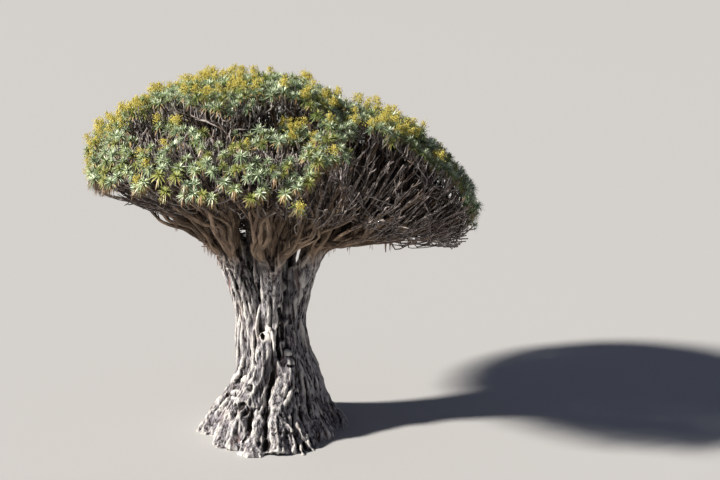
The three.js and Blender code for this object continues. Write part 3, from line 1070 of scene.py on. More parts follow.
# Each knot: its angle, its height, how far out it stands and its radius.
KNOTS = {
    "knot_a": (-152, 6.3, 0.03, 0.21),
    "knot_b": (-139, 5.85, 0.03, 0.19),
    "knot_c": (-58, 2.55, 0.03, 0.15),
    "curl": (-98, 4.80, 0.36, 0.17),
}
KNOT_GIRTH = 0.42
KNOT_RISE = 0.25
CROSSING_UNEVEN = 0.16


def on_trunk_degrees(spots):
    return [on_trunk(np.radians(angle), height, out) for angle, height, out in spots]


def crossing_rope(name, size, spots):
    path = smooth_path(on_trunk_degrees(spots), 10)
    radii = size * (1 + wander(len(path), CROSSING_UNEVEN))
    return carry(strand_bar, name, path, radii)


def knot(name, angle, height, out, size):
    bpy.ops.mesh.primitive_torus_add(
        major_segments=20,
        minor_segments=8,
        major_radius=size,
        minor_radius=size * KNOT_GIRTH,
    )
    made = bpy.context.object
    made.name = name
    outward = polar(1.0, math.radians(angle), KNOT_RISE)
    turn = Vector(outward).to_track_quat("Z", "Y").to_matrix()
    places = places_of(made) @ np.array(turn).T
    move_to(made, places + on_trunk_degrees([(angle, height, out)])[0])
    return made


crossings = [crossing_rope(name, size, spots) for name, (size, spots) in CROSSING_ROPES.items()]
crossings += [knot(name, *values) for name, values in KNOTS.items()]
print("braids, ledges and knots:", len(crossings))

# %% [markdown]
# ## Heads and collars
# The heads themselves are bars too, kept slimmer than the ring that their strands make, and each
# collar narrows from its head's end to meet its bough. The inner heads and the collars are wrapped
# in ropes.

# %% Heads and collars
HEAD_SHARES = {"smooth": 0.84, "lattice": 0.52, "plain": 0.74, "inner": 0.84}
HEAD_END_SHARE = 0.9
HEAD_RIDGE = 0.05
HEAD_ROPE = 0.08
HEAD_WIND = 0.4
COLLAR_STEPS = 12
COLLAR_END = 0.62
COLLAR_ROPE = 0.065
COLLAR_WIND = 0.3
WRAPPED_ROPES = 6


def head_ridge(turn, run):
    return HEAD_RIDGE * (np.cos(5 * turn + 2 * run) + np.cos(9 * turn - 3 * run))


def head_limbs():
    made = []
    for number, head in enumerate(heads):
        line = bezier(head.curve, np.linspace(0, 1, STEPS)[:, None])
        kind = HEAD_STRANDS[number] if head.kind == "outer" else "inner"
        share = mix(HEAD_SHARES[kind], HEAD_END_SHARE, np.linspace(0, 1, STEPS) ** 3)
        radii = np.linspace(*head.radii, STEPS) * share
        made.append(carry(thick_bar, f"head_{number}", line, radii, head_ridge))
        if head.kind != "outer":
            made += wrap(line, radii, WRAPPED_ROPES, HEAD_ROPE, f"head_rope_{number}", HEAD_WIND)
    return made


def collar_limbs():
    made = []
    for mass in (mass for mass in masses if mass.collar is not None):
        line = mix(mass.collar, mass.foot, np.linspace(0, 1, COLLAR_STEPS)[:, None])
        radii = np.linspace(COLLAR_RADIUS * COLLAR_FLARE, COLLAR_RADIUS * COLLAR_END, COLLAR_STEPS)
        made.append(carry(thick_bar, f"collar_{mass.name}", line, radii))
        made += wrap(line, radii, WRAPPED_ROPES, COLLAR_ROPE, f"collar_rope_{mass.name}", COLLAR_WIND)
    return made


limbs = head_limbs() + collar_limbs()
print("heads and collars:", len(limbs), "pieces")

# %% [markdown]
# ## One skin over the whole trunk
# A few hundred bars that pass through each other aren't a trunk yet. A voxel remesh melts them into
# one closed skin, and a light smoothing rounds the joins. This keeps the deep clefts between the
# strands, which a height map on a smooth trunk could not. The strands run upwards, so detail
# matters more across them than along them: the trunk is squeezed to half its height before the
# remesh and stretched again after it, which spends the same number of faces where they show. Air
# that was closed in between strands leaves small shells inside the wood. They are found as islands
# of the mesh and deleted.

# %% Melt the trunk into one skin
VOXEL = 0.040
SQUEEZE = 0.5


def select_only(*pieces):
    """Selects these pieces and makes the first one active."""
    bpy.ops.object.select_all(action="DESELECT")
    for piece in pieces:
        piece.select_set(True)
    bpy.context.view_layer.objects.active = pieces[0]


def use_modifier(piece, kind, **settings):
    modifier = piece.modifiers.new(kind.lower(), kind)
    for name, value in settings.items():
        setattr(modifier, name, value)
    bpy.context.view_layer.objects.active = piece
    bpy.ops.object.modifier_apply(modifier=modifier.name)


def joined(first, others):
    select_only(first, *others)
    bpy.ops.object.join()
    bpy.ops.object.select_all(action="DESELECT")
    return first


def edges_of(piece):
    edges = np.empty(len(piece.data.edges) * 2, np.int32)
    piece.data.edges.foreach_get("vertices", edges)
    return edges.reshape(-1, 2).T


def islands(piece):
    """For each point, the lowest number among the points that it hangs together with."""
    a, b = edges_of(piece)
    label = np.arange(len(piece.data.vertices))
    while True:
        lowest = np.minimum(label[a], label[b])
        new = label.copy()
        np.minimum.at(new, a, lowest)
        np.minimum.at(new, b, lowest)
        new = new[new]
        if np.array_equal(new, label):
            return label
        label = new


def delete_points(piece, doomed):
    select_only(piece)
    bpy.ops.object.mode_set(mode="EDIT")
    bpy.ops.mesh.select_mode(type="VERT")
    bpy.ops.mesh.select_all(action="DESELECT")
    bpy.ops.object.mode_set(mode="OBJECT")
    piece.data.vertices.foreach_set("select", doomed)
    bpy.ops.object.mode_set(mode="EDIT")
    bpy.ops.mesh.delete(type="VERT")
    bpy.ops.object.mode_set(mode="OBJECT")
    bpy.ops.object.select_all(action="DESELECT")


trunk = joined(core, strands + columns + crossings + limbs)
select_only(trunk)
bpy.ops.object.transform_apply(location=True, rotation=True, scale=True)
move_to(trunk, places_of(trunk) * (1, 1, SQUEEZE))
use_modifier(trunk, "REMESH", mode="VOXEL", voxel_size=VOXEL, adaptivity=0.0)
move_to(trunk, places_of(trunk) * (1, 1, 1 / SQUEEZE))
label = islands(trunk)
biggest = np.bincount(label).argmax()
print("islands:", len(np.unique(label)), "with", int((label != biggest).sum()), "points inside or apart")
delete_points(trunk, label != biggest)
use_modifier(trunk, "SMOOTH", factor=0.5, iterations=1)
print("trunk skin:", len(trunk.data.vertices), "points,", len(trunk.data.polygons), "faces")

# %% [markdown]
# ## Clefts and hollows
# Some shadows in the trunk are real holes: a mouth in the left knob, a tall recess between two
# front heads, pits in the flare, a cleft between the two columns and slits all round. Each is given
# as two ends on the trunk, a width and a depth, and the skin near the line between the ends is
# pushed in. Noise makes the edge of the hole ragged and its depth uneven.

# %% Carve clefts
RAGGED = (2.5, 2.5, 1.6)
RAGGED_SHARE = 0.7
UNEVEN_SCALE = 2.2
UNEVEN_SHARE = 0.5
DEEPEST_SHARE = 0.6
SKIN_REACH = 0.3
LEAST_REACH = 0.1
CLEFT_SHARPNESS = 1.5
# Each cleft: its two ends as an angle in degrees and a height, its width and its depth.
CLEFTS = [
    ((-99, 4.84), (-98, 4.74), 0.09, 0.30),
    ((-53, 7.75), (-57, 5.50), 0.26, 0.62),
    ((-134, 2.45), (-131, 2.38), 0.13, 0.26),
    ((-120, 2.58), (-118, 2.46), 0.14, 0.26),
    ((-127, 1.68), (-124, 1.30), 0.20, 0.36),
    ((-118, 1.78), (-114, 1.55), 0.18, 0.36),
    ((-99, 2.30), (-90, 0.30), 0.17, 0.48),
    ((-69, 0.75), (-66, 0.15), 0.20, 0.38),
    ((-21, 5.10), (-24, 3.80), 0.12, 0.36),
    ((-68, 3.42), (-58, 3.36), 0.06, 0.12),
    ((-66, 3.84), (-58, 3.80), 0.05, 0.09),
    ((-115, 4.90), (-113, 3.60), 0.12, 0.24),
    ((-75, 6.00), (-78, 3.80), 0.14, 0.42),
    ((-66, 5.60), (-68, 4.60), 0.13, 0.30),
    ((-160, 1.30), (-158, 0.20), 0.13, 0.28),
    ((-140, 1.30), (-139, 0.10), 0.12, 0.24),
    ((-108, 1.60), (-107, 0.20), 0.12, 0.26),
    ((-46, 2.70), (-44, 1.00), 0.10, 0.22),
    ((-31, 1.80), (-30, 0.10), 0.12, 0.26),
    ((-56, 1.50), (-58, 0.20), 0.11, 0.26),
    ((95, 2.90), (99, 0.40), 0.18, 0.40),
    ((140, 4.60), (136, 2.60), 0.13, 0.30),
    ((40, 5.00), (44, 2.80), 0.13, 0.30),
    ((60, 1.80), (58, 0.20), 0.14, 0.30),
    ((170, 1.70), (168, 0.20), 0.12, 0.26),
    ((8, 2.30), (10, 0.50), 0.12, 0.26),
]


def carve(places, low_end, high_end, width, depth):
    height = places[:, 2]
    middle = np.column_stack([trunk_lean(height), np.zeros(len(places))])
    out = places[:, :2] - middle
    reach = np.linalg.norm(out, axis=1)
    girth = trunk_radius(mix(low_end[1], high_end[1], 0.5))
    start = np.array([math.radians(low_end[0]), low_end[1]])
    gap = (math.radians(high_end[0] - low_end[0]) * girth, high_end[1] - low_end[1])
    aside = angle_between(np.arctan2(out[:, 1], out[:, 0]), start[0]) * girth
    aside += width * RAGGED_SHARE * lumps(places * RAGGED, 31)
    above = height - start[1]
    t = np.clip((aside * gap[0] + above * gap[1]) / (gap[0] ** 2 + gap[1] ** 2), 0, 1)
    away = np.hypot(aside - gap[0] * t, above - gap[1] * t) / width
    uneven = 1 + UNEVEN_SHARE * lumps(places * UNEVEN_SCALE, 32)
    deep = depth * np.clip(1 - away**2, 0, 1) ** CLEFT_SHARPNESS * uneven
    deep = np.minimum(deep, DEEPEST_SHARE * reach)
    near = reach > trunk_radius(height) - 2 * depth - SKIN_REACH
    places[:, :2] -= out / np.maximum(reach, LEAST_REACH)[:, None] * (deep * near)[:, None]


places = places_of(trunk)
for cleft in CLEFTS:
    carve(places, *cleft)
move_to(trunk, places)
print("clefts:", len(CLEFTS))

# %% [markdown]
# ## Fibres and depth
# Lumps drawn out upwards give the skin its fibres. Then each point is asked how deep it lies: the
# places of the points are averaged with their neighbours' many times, and a point that lies behind
# its averaged place is in a cleft. The answer is kept as an attribute, which the bark material
# reads to paint shade into the clefts and a highlight onto the ridges. At last the skin is cut flat
# at the ground and thinned out to a number of triangles that a renderer takes easily.

# %% Fibres and depth
FIBRE_LIFTS = [((2.4, 2.4, 0.4), 0.045), ((7.0, 7.0, 0.7), 0.044), ((13.0, 13.0, 2.0), 0.026)]
BLUR_ROUNDS = 26
HOLLOW_DEPTH = 0.085
MOST_TRIANGLES = 192000


def normals_of(piece):
    normals = np.empty(len(piece.data.vertices) * 3)
    piece.data.vertex_normals.foreach_get("vector", normals)
    return normals.reshape(-1, 3)


def lift(piece):
    places = places_of(piece)
    push = np.zeros(len(places))
    for number, (squeeze, size) in enumerate(FIBRE_LIFTS):
        push += size * lumps(places * squeeze, number + 11)
    move_to(piece, places + normals_of(piece) * push[:, None])


def neighbour_sums(edges, column):
    """For each point, the sum of its neighbours' values."""
    a, b = edges
    return np.bincount(a, column[b], len(column)) + np.bincount(b, column[a], len(column))


def blurred(piece, values, rounds):
    edges = edges_of(piece)
    neighbours = neighbour_sums(edges, np.ones(len(values)))
    for _ in range(rounds):
        total = np.stack([neighbour_sums(edges, column) for column in values.T], axis=1)
        values = 0.5 * values + 0.5 * total / np.maximum(neighbours, 1)[:, None]
    return values


def keep_attribute(piece, name, kind, field, values):
    layer = piece.data.attributes.new(name, kind, "POINT")
    layer.data.foreach_set(field, np.ascontiguousarray(values, dtype=np.float32).ravel())


def keep_depth(piece, full_depth):
    """1 deep in a cleft, -1 high on a ridge."""
    places = places_of(piece)
    behind = np.einsum("ij,ij->i", blurred(piece, places, BLUR_ROUNDS) - places, normals_of(piece))
    depth = np.clip(behind / full_depth, -1, 1)
    keep_attribute(piece, "hollow", "FLOAT", "value", depth)
    return depth


def settle_on_ground(piece):
    """Nothing reaches below the flat cut."""
    places = places_of(piece)
    places[:, 2] = np.maximum(places[:, 2], 0)
    move_to(piece, places)


def cut_at_ground(piece):
    select_only(piece)
    bpy.ops.object.mode_set(mode="EDIT")
    bpy.ops.mesh.select_all(action="SELECT")
    bpy.ops.mesh.bisect(plane_co=(0, 0, 0), plane_no=(0, 0, 1), clear_inner=True, use_fill=True)
    bpy.ops.object.mode_set(mode="OBJECT")
    bpy.ops.object.select_all(action="DESELECT")


lift(trunk)
cut_at_ground(trunk)
depth = keep_depth(trunk, HOLLOW_DEPTH)
print("trunk points in clefts:", int((depth > 0.5).sum()), "and on ridges:", int((depth < -0.5).sum()))
triangles = sum(len(face.vertices) - 2 for face in trunk.data.polygons)
if triangles > MOST_TRIANGLES:
    use_modifier(trunk, "DECIMATE", ratio=MOST_TRIANGLES / triangles)
settle_on_ground(trunk)
trunk.data.shade_smooth()
trunk.data.materials.clear()
trunk.data.materials.append(trunk_bark)
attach(trunk, "root")
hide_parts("trunk")
print("trunk:", sum(len(face.vertices) - 2 for face in trunk.data.polygons), "triangles")

# %% [markdown]
# ## Where the tufts stand
# Each twig tip carries a rosette, and rosettes stand about as far apart as they are wide. Points
# are thrown onto the crown's surface at random and kept where none stands near. At the front left
# the crown has two tiers: under the upper one runs a bare band, a cliff of upright twigs, and below
# it the rosettes stand thinner. Under the open front right the lip is high, and only bare twigs
# reach out there. Inside the crown, twigs that lost their leaves to the shade fill the space.

# %% Where tips may stand
CLIFF_RISES = (math.radians(31), math.radians(53))
CLIFF_ANGLE = math.radians(-122)
CLIFF_WIDTH = math.radians(46)
CLIFF_FOOT_SOFTNESS = 0.09
CLIFF_TOP_SOFTNESS = 0.05
CLIFF_SIDE_SOFTNESS = 0.2
CLIFF_BARE = (0.50, 0.95)
CLIFF_BARE_RISE = math.radians(38)
CLIFF_BARE_SOFTNESS = 0.12
THIN_RISE = math.radians(20)
THIN_HEIGHT = math.radians(16)
THIN_SHARE = 0.34
THIN_SOFTNESS = 0.5
LEFT_BARE = math.radians(9)
LEFT_ANGLE = math.radians(-160)
LOW_BARE = math.radians(11)
LOW_ANGLE = math.radians(-8)
SIDE_WIDTH = math.radians(36)
FRAY = math.radians(11)
FRAY_SHARE = 0.75
FRAY_REACH = 3


def edge(x, softness):
    """0 below zero and 1 above it, soft by so much."""
    return step(x / softness + 0.5)


def in_cliff(angle, rise):
    foot = edge(rise - CLIFF_RISES[0], CLIFF_FOOT_SOFTNESS)
    top = edge(CLIFF_RISES[1] - rise, CLIFF_TOP_SOFTNESS)
    side = edge(CLIFF_WIDTH - abs(angle_between(angle, CLIFF_ANGLE)), CLIFF_SIDE_SOFTNESS)
    return foot * top * side


def opening(angle):
    """1 where the crown's front right is open and 0 elsewhere."""
    return fade(angle_between(angle, OPEN_ANGLE), 0, OPEN_WIDTH)


def frayed_share(angle):
    """1 over the opening and some way beyond it, 0 elsewhere."""
    return min(1, FRAY_REACH * opening(angle))


def lowest_leafy(angle):
    """At the front left the rosettes stop higher and leave the limbs in sight."""
    return lowest_rise(angle) + LEFT_BARE * fade(angle_between(angle, LEFT_ANGLE), 0, SIDE_WIDTH)


def lowest_bare(angle):
    """At the right, bare limbs reach out lower than any leaf."""
    return front_lip(angle) - LOW_BARE * fade(angle_between(angle, LOW_ANGLE), 0, SIDE_WIDTH)


def leafy_share(angle, rise):
    """The share of rosettes that stay, by place."""
    front_left = edge(CLIFF_WIDTH - abs(angle_between(angle, CLIFF_ANGLE)), THIN_SOFTNESS)
    thin = front_left * fade(rise, THIN_RISE, THIN_HEIGHT)
    frayed = frayed_share(angle) * (1 - edge(rise - lowest_rise(angle) - FRAY / 2, FRAY))
    bare = in_cliff(angle, rise) * mix(*CLIFF_BARE, edge(rise - CLIFF_BARE_RISE, CLIFF_BARE_SOFTNESS))
    return (1 - bare) * (1 - THIN_SHARE * thin) * (1 - FRAY_SHARE * frayed)


def scatter(throws, spacing, lowest, highest, keep):
    """Angles and rises on the crown's surface that stand at least so far apart."""
    kept = np.empty((throws, 3))
    count = 0
    chosen = []
    for _ in range(throws):
        angle = rng.random() * TURN
        rise = mix(lowest(angle), highest(angle), rng.random())
        point = canopy_point(angle, rise)
        if count and np.min(np.sum((kept[:count] - point) ** 2, axis=1)) < spacing**2:
            continue
        kept[count] = point
        count += 1
        if rng.random() < keep(angle, rise):
            chosen.append((angle, rise))
    return chosen


def to_crest(angle):
    return CREST


def cliff_foot(angle):
    return CLIFF_RISES[0]


def cliff_top(angle):
    return CLIFF_RISES[1]


def frayed_top(angle):
    return lowest_rise(angle) + FRAY * frayed_share(angle)


def everywhere(angle, rise):
    return 1.0


print("lowest rosettes:", round_the_tree(lowest_leafy), "degrees")

# %% [markdown]
# ## Tips and the shoots they stand on
# Each kind of tip has its own sizes: how far it is set in from the crown's surface, how long its
# shoot is, how much it points outwards and how much upwards, a random swing and a girth. A shoot
# may not start below the limbs, so a tip near the underside is moved out, step by step, until its
# base lies above the bough. Where the photo's outline is slimmer than the plain model, at the upper
# right and the lower left, the tips are drawn in.

# %% Tips
TIPS = {
    "leafy": dict(inset=(0.26, 0.70), shoot=(0.45, 0.95), way=(0.60, 1.00), swing=0.14, girth=1.0),
    "upright": dict(inset=(0.20, 1.10), shoot=(0.50, 2.00), way=(0.16, 1.00), swing=0.28, girth=0.85),
    "bare": dict(inset=(0.10, 2.60), shoot=(0.70, 3.20), way=(0.95, 0.40), swing=0.19, girth=1.0),
    "inner": dict(inset=(0.90, 5.60), shoot=(0.60, 1.50), way=(0.60, 0.70), swing=0.14, girth=0.85),
    "behind_cliff": dict(inset=(0.80, 2.60), shoot=(0.90, 1.60), way=(0.30, 0.90), swing=0.14, girth=1.0),
}
LIP_SOFTNESS = 0.22
LIMB_DROOP = (-0.32, 0.14)
UNEVEN = 0.45
LEAST_SWING = 0.4
OUTWARD_STEPS = 5
OUTWARD_SHARE = 0.6
# Each place where the outline draws in: its X and Z, how wide it is and how deep.
TUCKS = [(3.9, 15.5, 1.7, 0.60), (8.2, 13.2, 2.4, 0.32), (-8.6, 10.8, 1.9, 0.70), (-6.6, 14.4, 2.0, 0.32)]
CLEAR_ANGLE = math.radians(-84)
CLEAR_WIDTH = math.radians(58)
CLEAR_SIDE_SOFTNESS = 0.4
CLEAR_RISE = math.radians(34)
CLEAR_TOP_SOFTNESS = 0.3
CLEAR_DEPTH = 1.9
BACK_ANGLE = math.radians(32)
BACK_WIDTH = math.radians(46)
BACK_TOP = math.radians(50)
LOW_ROSETTE = (math.radians(-83), math.radians(9))
spring_ways = np.array([mass.way for mass in masses])


def slope_of(way):
    return math.atan2(way[2], math.hypot(way[0], way[1]))


def above_lip(angle, place):
    """0 on the underside of the crown and 1 well above it, so that no shoot starts below the limbs."""
    lip = canopy_point(angle, lowest_bare(angle)) - SPRING
    slope = slope_of(place - SPRING) - slope_of(lip)
    return float(step(slope / LIP_SOFTNESS))


def limb_floor(mass, place):
    """The height of the mass's bough below a place, or of a limb that goes on from its end."""
    reaches = [math.hypot(spot[0] - CROWN_X, spot[1]) for spot in (mass.foot, mass.start, place)]
    height = np.interp(reaches[2], reaches[:2], (mass.foot[2], mass.start[2]))
    droop = mix(*LIMB_DROOP, 0.5 + 0.5 * math.cos(mass.angle))
    return height - droop * max(0.0, reaches[2] - reaches[1])


def tuck(place):
    """How much deeper the tips stand where the outline seen from the front draws in."""
    total = 0.0
    for x, z, width, deep in TUCKS:
        total += deep * fade(math.hypot(place[0] - x, place[2] - z), 0, width)
    return total


def kept_clear(angle, rise):
    """1 under the front of the crown, where the boughs stand free of dead twigs."""
    aside = edge(CLEAR_WIDTH - abs(angle_between(angle, CLEAR_ANGLE)), CLEAR_SIDE_SOFTNESS)
    return float(aside * edge(CLEAR_RISE - rise, CLEAR_TOP_SOFTNESS))


def add_tips(places, kind):
    sizes = TIPS[kind]
    for angle, rise in places:
        way = unit(canopy_point(angle, rise) - SPRING)
        mass = masses[int(np.argmax(spring_ways @ way))]
        surface = canopy_point(angle, rise, mass.drop)
        outward = unit(surface - SPRING)
        least, most = sizes["inset"]
        inset = rng.uniform(least, mix(most, min(most, CLEAR_DEPTH), kept_clear(angle, rise)))
        drawn_in = tuck(surface)
        shoot = rng.uniform(*sizes["shoot"])
        swing = rng.normal(0, sizes["swing"], 3)
        lowest = rng.uniform(0, UNEVEN)
        for _ in range(OUTWARD_STEPS):
            end = surface - outward * (inset + drawn_in)
            upright = sizes["way"][1] * above_lip(angle, end)
            leaning = swing * max(LEAST_SWING, min(1, upright))
            way = unit(outward * sizes["way"][0] + UP * upright + leaning)
            base = end - way * shoot
            if base[2] > limb_floor(mass, base) + lowest:
                break
            inset = mix(least, inset, OUTWARD_SHARE)
        base[2] = max(base[2], limb_floor(mass, base) + lowest)
        tuft = SimpleNamespace(end=end, kind=kind, angle=angle, rise=rise, way=way, base=base)
        tuft.girth = sizes["girth"]
        mass.tufts.append(tuft)


def back_right(angle, rise):
    """The far side behind the opening, where little light may fall through."""
    return fade(angle_between(angle, BACK_ANGLE), 0, BACK_WIDTH) * (rise < BACK_TOP)


# Each layer of tips: its kind, the number of throws, the spacing, the lowest and highest rise, the share.
LAYERS = [
    ("leafy", 52000, 0.345, lowest_leafy, to_crest, leafy_share),
    ("upright", 9000, 0.28, cliff_foot, cliff_top, in_cliff),
    ("behind_cliff", 9000, 0.19, cliff_foot, cliff_top, in_cliff),
    ("bare", 9000, 0.44, lowest_bare, frayed_top, everywhere),
    ("inner", 14000, 0.35, lowest_rise, to_crest, everywhere),
    ("behind_cliff", 14000, 0.23, lowest_rise, to_crest, back_right),
]
for kind, throws, spacing, lowest, highest, keep in LAYERS:
    add_tips(scatter(throws, spacing, lowest, highest, keep), kind)
add_tips([LOW_ROSETTE], "leafy")
for kind in TIPS:
    print(kind, "tips:", sum(tuft.kind == kind for mass in masses for tuft in mass.tufts))

# %% [markdown]
# ## Boughs
# A bough is a bundle. It grows out of its head or its collar as several limbs side by side, which
# bend in one long sweep and part one after the other, each for its own share of the tufts. First
# the limbs are planned. The tufts of a mass are halved across their widest spread until each group
# is small, and each group gets a limb, which parts from the bundle where it can reach its tufts
# without turning back.

# %% Plan the limbs
BOUGH_HANDLE = 0.34
BOUGH_SWAY = 0.13
BOUGH_CALM = 0.8
BOUGH_SWING = 0.5
BOUGH_STEPS = 60
GROUP_SIZE = 24
MOST_TURN = math.radians(38)
LEAST_SHARE = 0.08
PART_EARLY = 0.62
PART_QUANTILE = 0.3
TIP_RADIUS = 0.026
PIPE_POWER = 0.36


def thickness(count):
    """The radius of a limb that feeds so many tufts."""
    return TIP_RADIUS * count**PIPE_POWER


def halves(tufts):
    """Two halves across the widest spread."""
    bases = np.array([tuft.base for tuft in tufts])
    first = bases[np.argmax(np.sum((bases - bases.mean(axis=0)) ** 2, axis=1))]
    last = bases[np.argmax(np.sum((bases - first) ** 2, axis=1))]
    order = np.argsort((bases - first) @ (last - first), kind="stable")
    half = math.ceil(len(order) / 2)
    return [tufts[i] for i in order[:half]], [tufts[i] for i in order[half:]]


def groups_of(tufts):
    if len(tufts) <= GROUP_SIZE:
        return [tufts]
    near, far = halves(tufts)
    return groups_of(near) + groups_of(far)


def bough_path(mass):
    start, end = mass.foot, mass.start
    handle = np.linalg.norm(end - start) * BOUGH_HANDLE
    curve = [start, start + mass.foot_way * handle, end - mass.start_way * handle, end]
    t = np.linspace(0, 1, BOUGH_STEPS)
    path = bezier(curve, t[:, None])
    across, side = frames_along(path)
    calm = (np.sin(math.pi * t) ** BOUGH_CALM)[:, None] * BOUGH_SWAY
    sway = across * wander(BOUGH_STEPS, BOUGH_SWING)[:, None]
    sway = sway + side * wander(BOUGH_STEPS, BOUGH_SWING)[:, None]
    return path + calm * sway


def leaving_share(path, base):
    """How far along the bough a limb may leave it and reach this base without a sharp turn."""
    tangents = unit(np.gradient(path, axis=0))
    straight = np.einsum("ij,ij->i", unit(base - path), tangents) > math.cos(MOST_TURN)
    return np.flatnonzero(straight)[-1] / (len(path) - 1) if straight.any() else 0.0


def plan_limbs(mass):
    """Each limb's tufts and how far it follows the bough. The first one follows it to its end."""
    mass.path = bough_path(mass)
    plans = []
    for tufts in groups_of(mass.tufts):
        shares = [leaving_share(mass.path, tuft.base) for tuft in tufts]
        share = float(np.quantile(shares, PART_QUANTILE)) * PART_EARLY
        plans.append((max(LEAST_SHARE, share), tufts))
    plans.sort(key=lambda plan: -plan[0])
    return [(1.0, plans[0][1])] + plans[1:]


for mass in masses:
    mass.plans = plan_limbs(mass)
print("limbs:", sum(len(mass.plans) for mass in masses))

# %% [markdown]
# ## Bundles of limbs
# The middle limb follows the plain bough's curve to its end, and the others wind round it as far as
# they share its way. No limb is a smooth pipe: a bar with many sides is carried along its path, its
# radius swings with the angle, and an attribute keeps the way along it for the bark's fibres. Each
# bundle starts inside its collar, so that no step shows.

# %% Boughs as bundles
BUNDLE_WIDTH = (0.12, 0.50)
BUNDLE_TURN = 2.4
BUNDLE_WIND = (-2.5, 2.5)
BOUGH_SUNK = 0.6
BOUGH_FOOT = 0.150
LIMB_FOOT = 0.094
LIMB_FEET = (0.8, 1.25)
LIMB_REACH = (0.76, 1.05)
LIMB_HANDLES = (0.45, 0.35)
LEAST_MARKS = 3
MORE_MARKS = 6
AWAY_STEPS = 6
SPAN_STEPS = 5
LIMB_LIFT = 0.25
LIMB_SAG = 0.10
LIMB_LUMPS = 0.015
LIMB_LUMPS_SCALE = 7.0
RADIUS_STEPS = 20
BOUGH_DEPTH = 0.022
# Each wave round a limb: how far it swings the radius and how many times it goes round.
RIDGES = ((0.18, 2), (0.13, 3), (0.09, 5))
RIDGE_WIND = (-4.5, 4.5)
SWELLINGS = 4
SWELLING = 0.06
FIBRE_SHIFT = (0, 40)
bough_bar = bar("bough_bar", 20, 56)
limb_bar = bar("limb_bar", 12, 34)


def limb_path(mass, number, share, tufts):
    """From inside the collar, beside the bough's middle limb, and off to the middle of the tufts."""
    sunk = BOUGH_SUNK if mass.collar is not None else BOUGH_SUNK / 2
    back = mass.foot - mass.foot_way * sunk
    across, side = frames_along(mass.path)
    marks = np.linspace(0, share, LEAST_MARKS + int(share * MORE_MARKS))
    run = mass.path if number == 0 else sample(mass.path, marks)
    if number:
        turn = number * BUNDLE_TURN + marks * rng.uniform(*BUNDLE_WIND)
        out = mix(*BUNDLE_WIDTH, marks)
        run = run + sample(across, marks) * (out * np.cos(turn))[:, None]
        run = run + sample(side, marks) * (out * np.sin(turn))[:, None]
    here = run[-1]
    way = unit(run[-1] - run[-2])
    gap = np.mean([tuft.base for tuft in tufts], axis=0) - here
    goal = here + gap * mix(*LIMB_REACH, opening(mass.angle))
    distance = np.linalg.norm(goal - here)
    leaving = here + way * distance * LIMB_HANDLES[0]
    arriving = goal - unit(gap + UP * LIMB_LIFT) * distance * LIMB_HANDLES[1]
    away = bezier([here, leaving, arriving, goal], np.linspace(0, 1, AWAY_STEPS)[1:, None])
    points = np.vstack([back, run, away])
    if number:
        points = smooth_path(points, SPAN_STEPS)
    foot_reach = math.hypot(mass.foot[0] - CROWN_X, mass.foot[1])
    for point in points:
        if math.hypot(point[0] - CROWN_X, point[1]) > foot_reach:
            point[2] = max(point[2], limb_floor(mass, point) - LIMB_SAG)
    return resampled(points, BOUGH_STEPS)


def length_of(path):
    return np.linalg.norm(np.diff(path, axis=0), axis=1).sum()


def resampled(points, count):
    """The same path with its points at even distances."""
    run = np.concatenate([[0], np.cumsum(np.linalg.norm(np.diff(points, axis=0), axis=1))])
    marks = np.linspace(0, run[-1], count)
    return np.stack([np.interp(marks, run, column) for column in points.T], axis=1)


def bough_ridge():
    """A rule for one limb: how much its radius changes with the angle and along it."""
    phases = rng.random(4) * TURN
    winds = rng.uniform(*RIDGE_WIND, 4)

    def ridge(turn, run):
        waves = 0.0
        for (size, count), phase, wind in zip(RIDGES, phases, winds):
            waves = waves + size * np.cos(count * turn + phase + wind * run)
        return waves + SWELLING * np.cos(SWELLINGS * TURN * run + phases[3])

    return ridge


def keep_fibres(piece, pattern, length, radius):
    """Keeps each point's place in the bar, at the limb's own size and shifted at random."""
    along = places_of(pattern) * (radius, radius, length)
    keep_attribute(piece, "fibres", "FLOAT_VECTOR", "vector", along + rng.uniform(*FIBRE_SHIFT))


def make_limb(mass, number, share, tufts):
    path = limb_path(mass, number, share, tufts)
    foot = BOUGH_FOOT if number == 0 else LIMB_FOOT * rng.uniform(*LIMB_FEET)
    radii = np.linspace(foot, thickness(len(tufts)), RADIUS_STEPS)
    pattern = bough_bar if number == 0 else limb_bar
    limb = carry(pattern, f"bough_{mass.name}_bark", path, radii, bough_ridge())
    keep_fibres(limb, pattern, length_of(path), foot)
    places = places_of(limb)
    push = LIMB_LUMPS * lumps(places * LIMB_LUMPS_SCALE, 5)
    move_to(limb, places + normals_of(limb) * push[:, None])
    return limb, path


def make_bough(mass):
    limbs = [make_limb(mass, number, *plan) for number, plan in enumerate(mass.plans)]
    mass.roots = [(path[-2:], tufts) for (_, path), (_, tufts) in zip(limbs, mass.plans)]
    mass.limb_paths = [path for _, path in limbs]
    bough = joined(limbs[0][0], [limb for limb, _ in limbs[1:]])
    bough.name = bough.data.name = f"bough_{mass.name}_bark"
    keep_depth(bough, BOUGH_DEPTH)
    bough.data.shade_smooth()
    bough.data.materials.append(bough_bark)
    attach(bough, "root")
    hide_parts(f"bough_{mass.name}")
    return bough


boughs = [make_bough(mass) for mass in masses]
print("boughs:", len(boughs), "with", sum(len(bough.data.polygons) for bough in boughs), "faces")

# %% [markdown]
# ## The growing rule
# A dragon tree forks each time it flowers. The rule of the plain model is used again: a limb runs
# part of the way to the middle of its tufts and forks, goes on to one half of them, and a thinner
# limb leaves it there for the other half. Here the steps are evened out, because there are many
# more tufts, a limb bends from the way it came to the way it has to go, its thickness follows from
# the number of tufts that it feeds, and each tuft stands on a shoot of its own, with a few small
# bends.

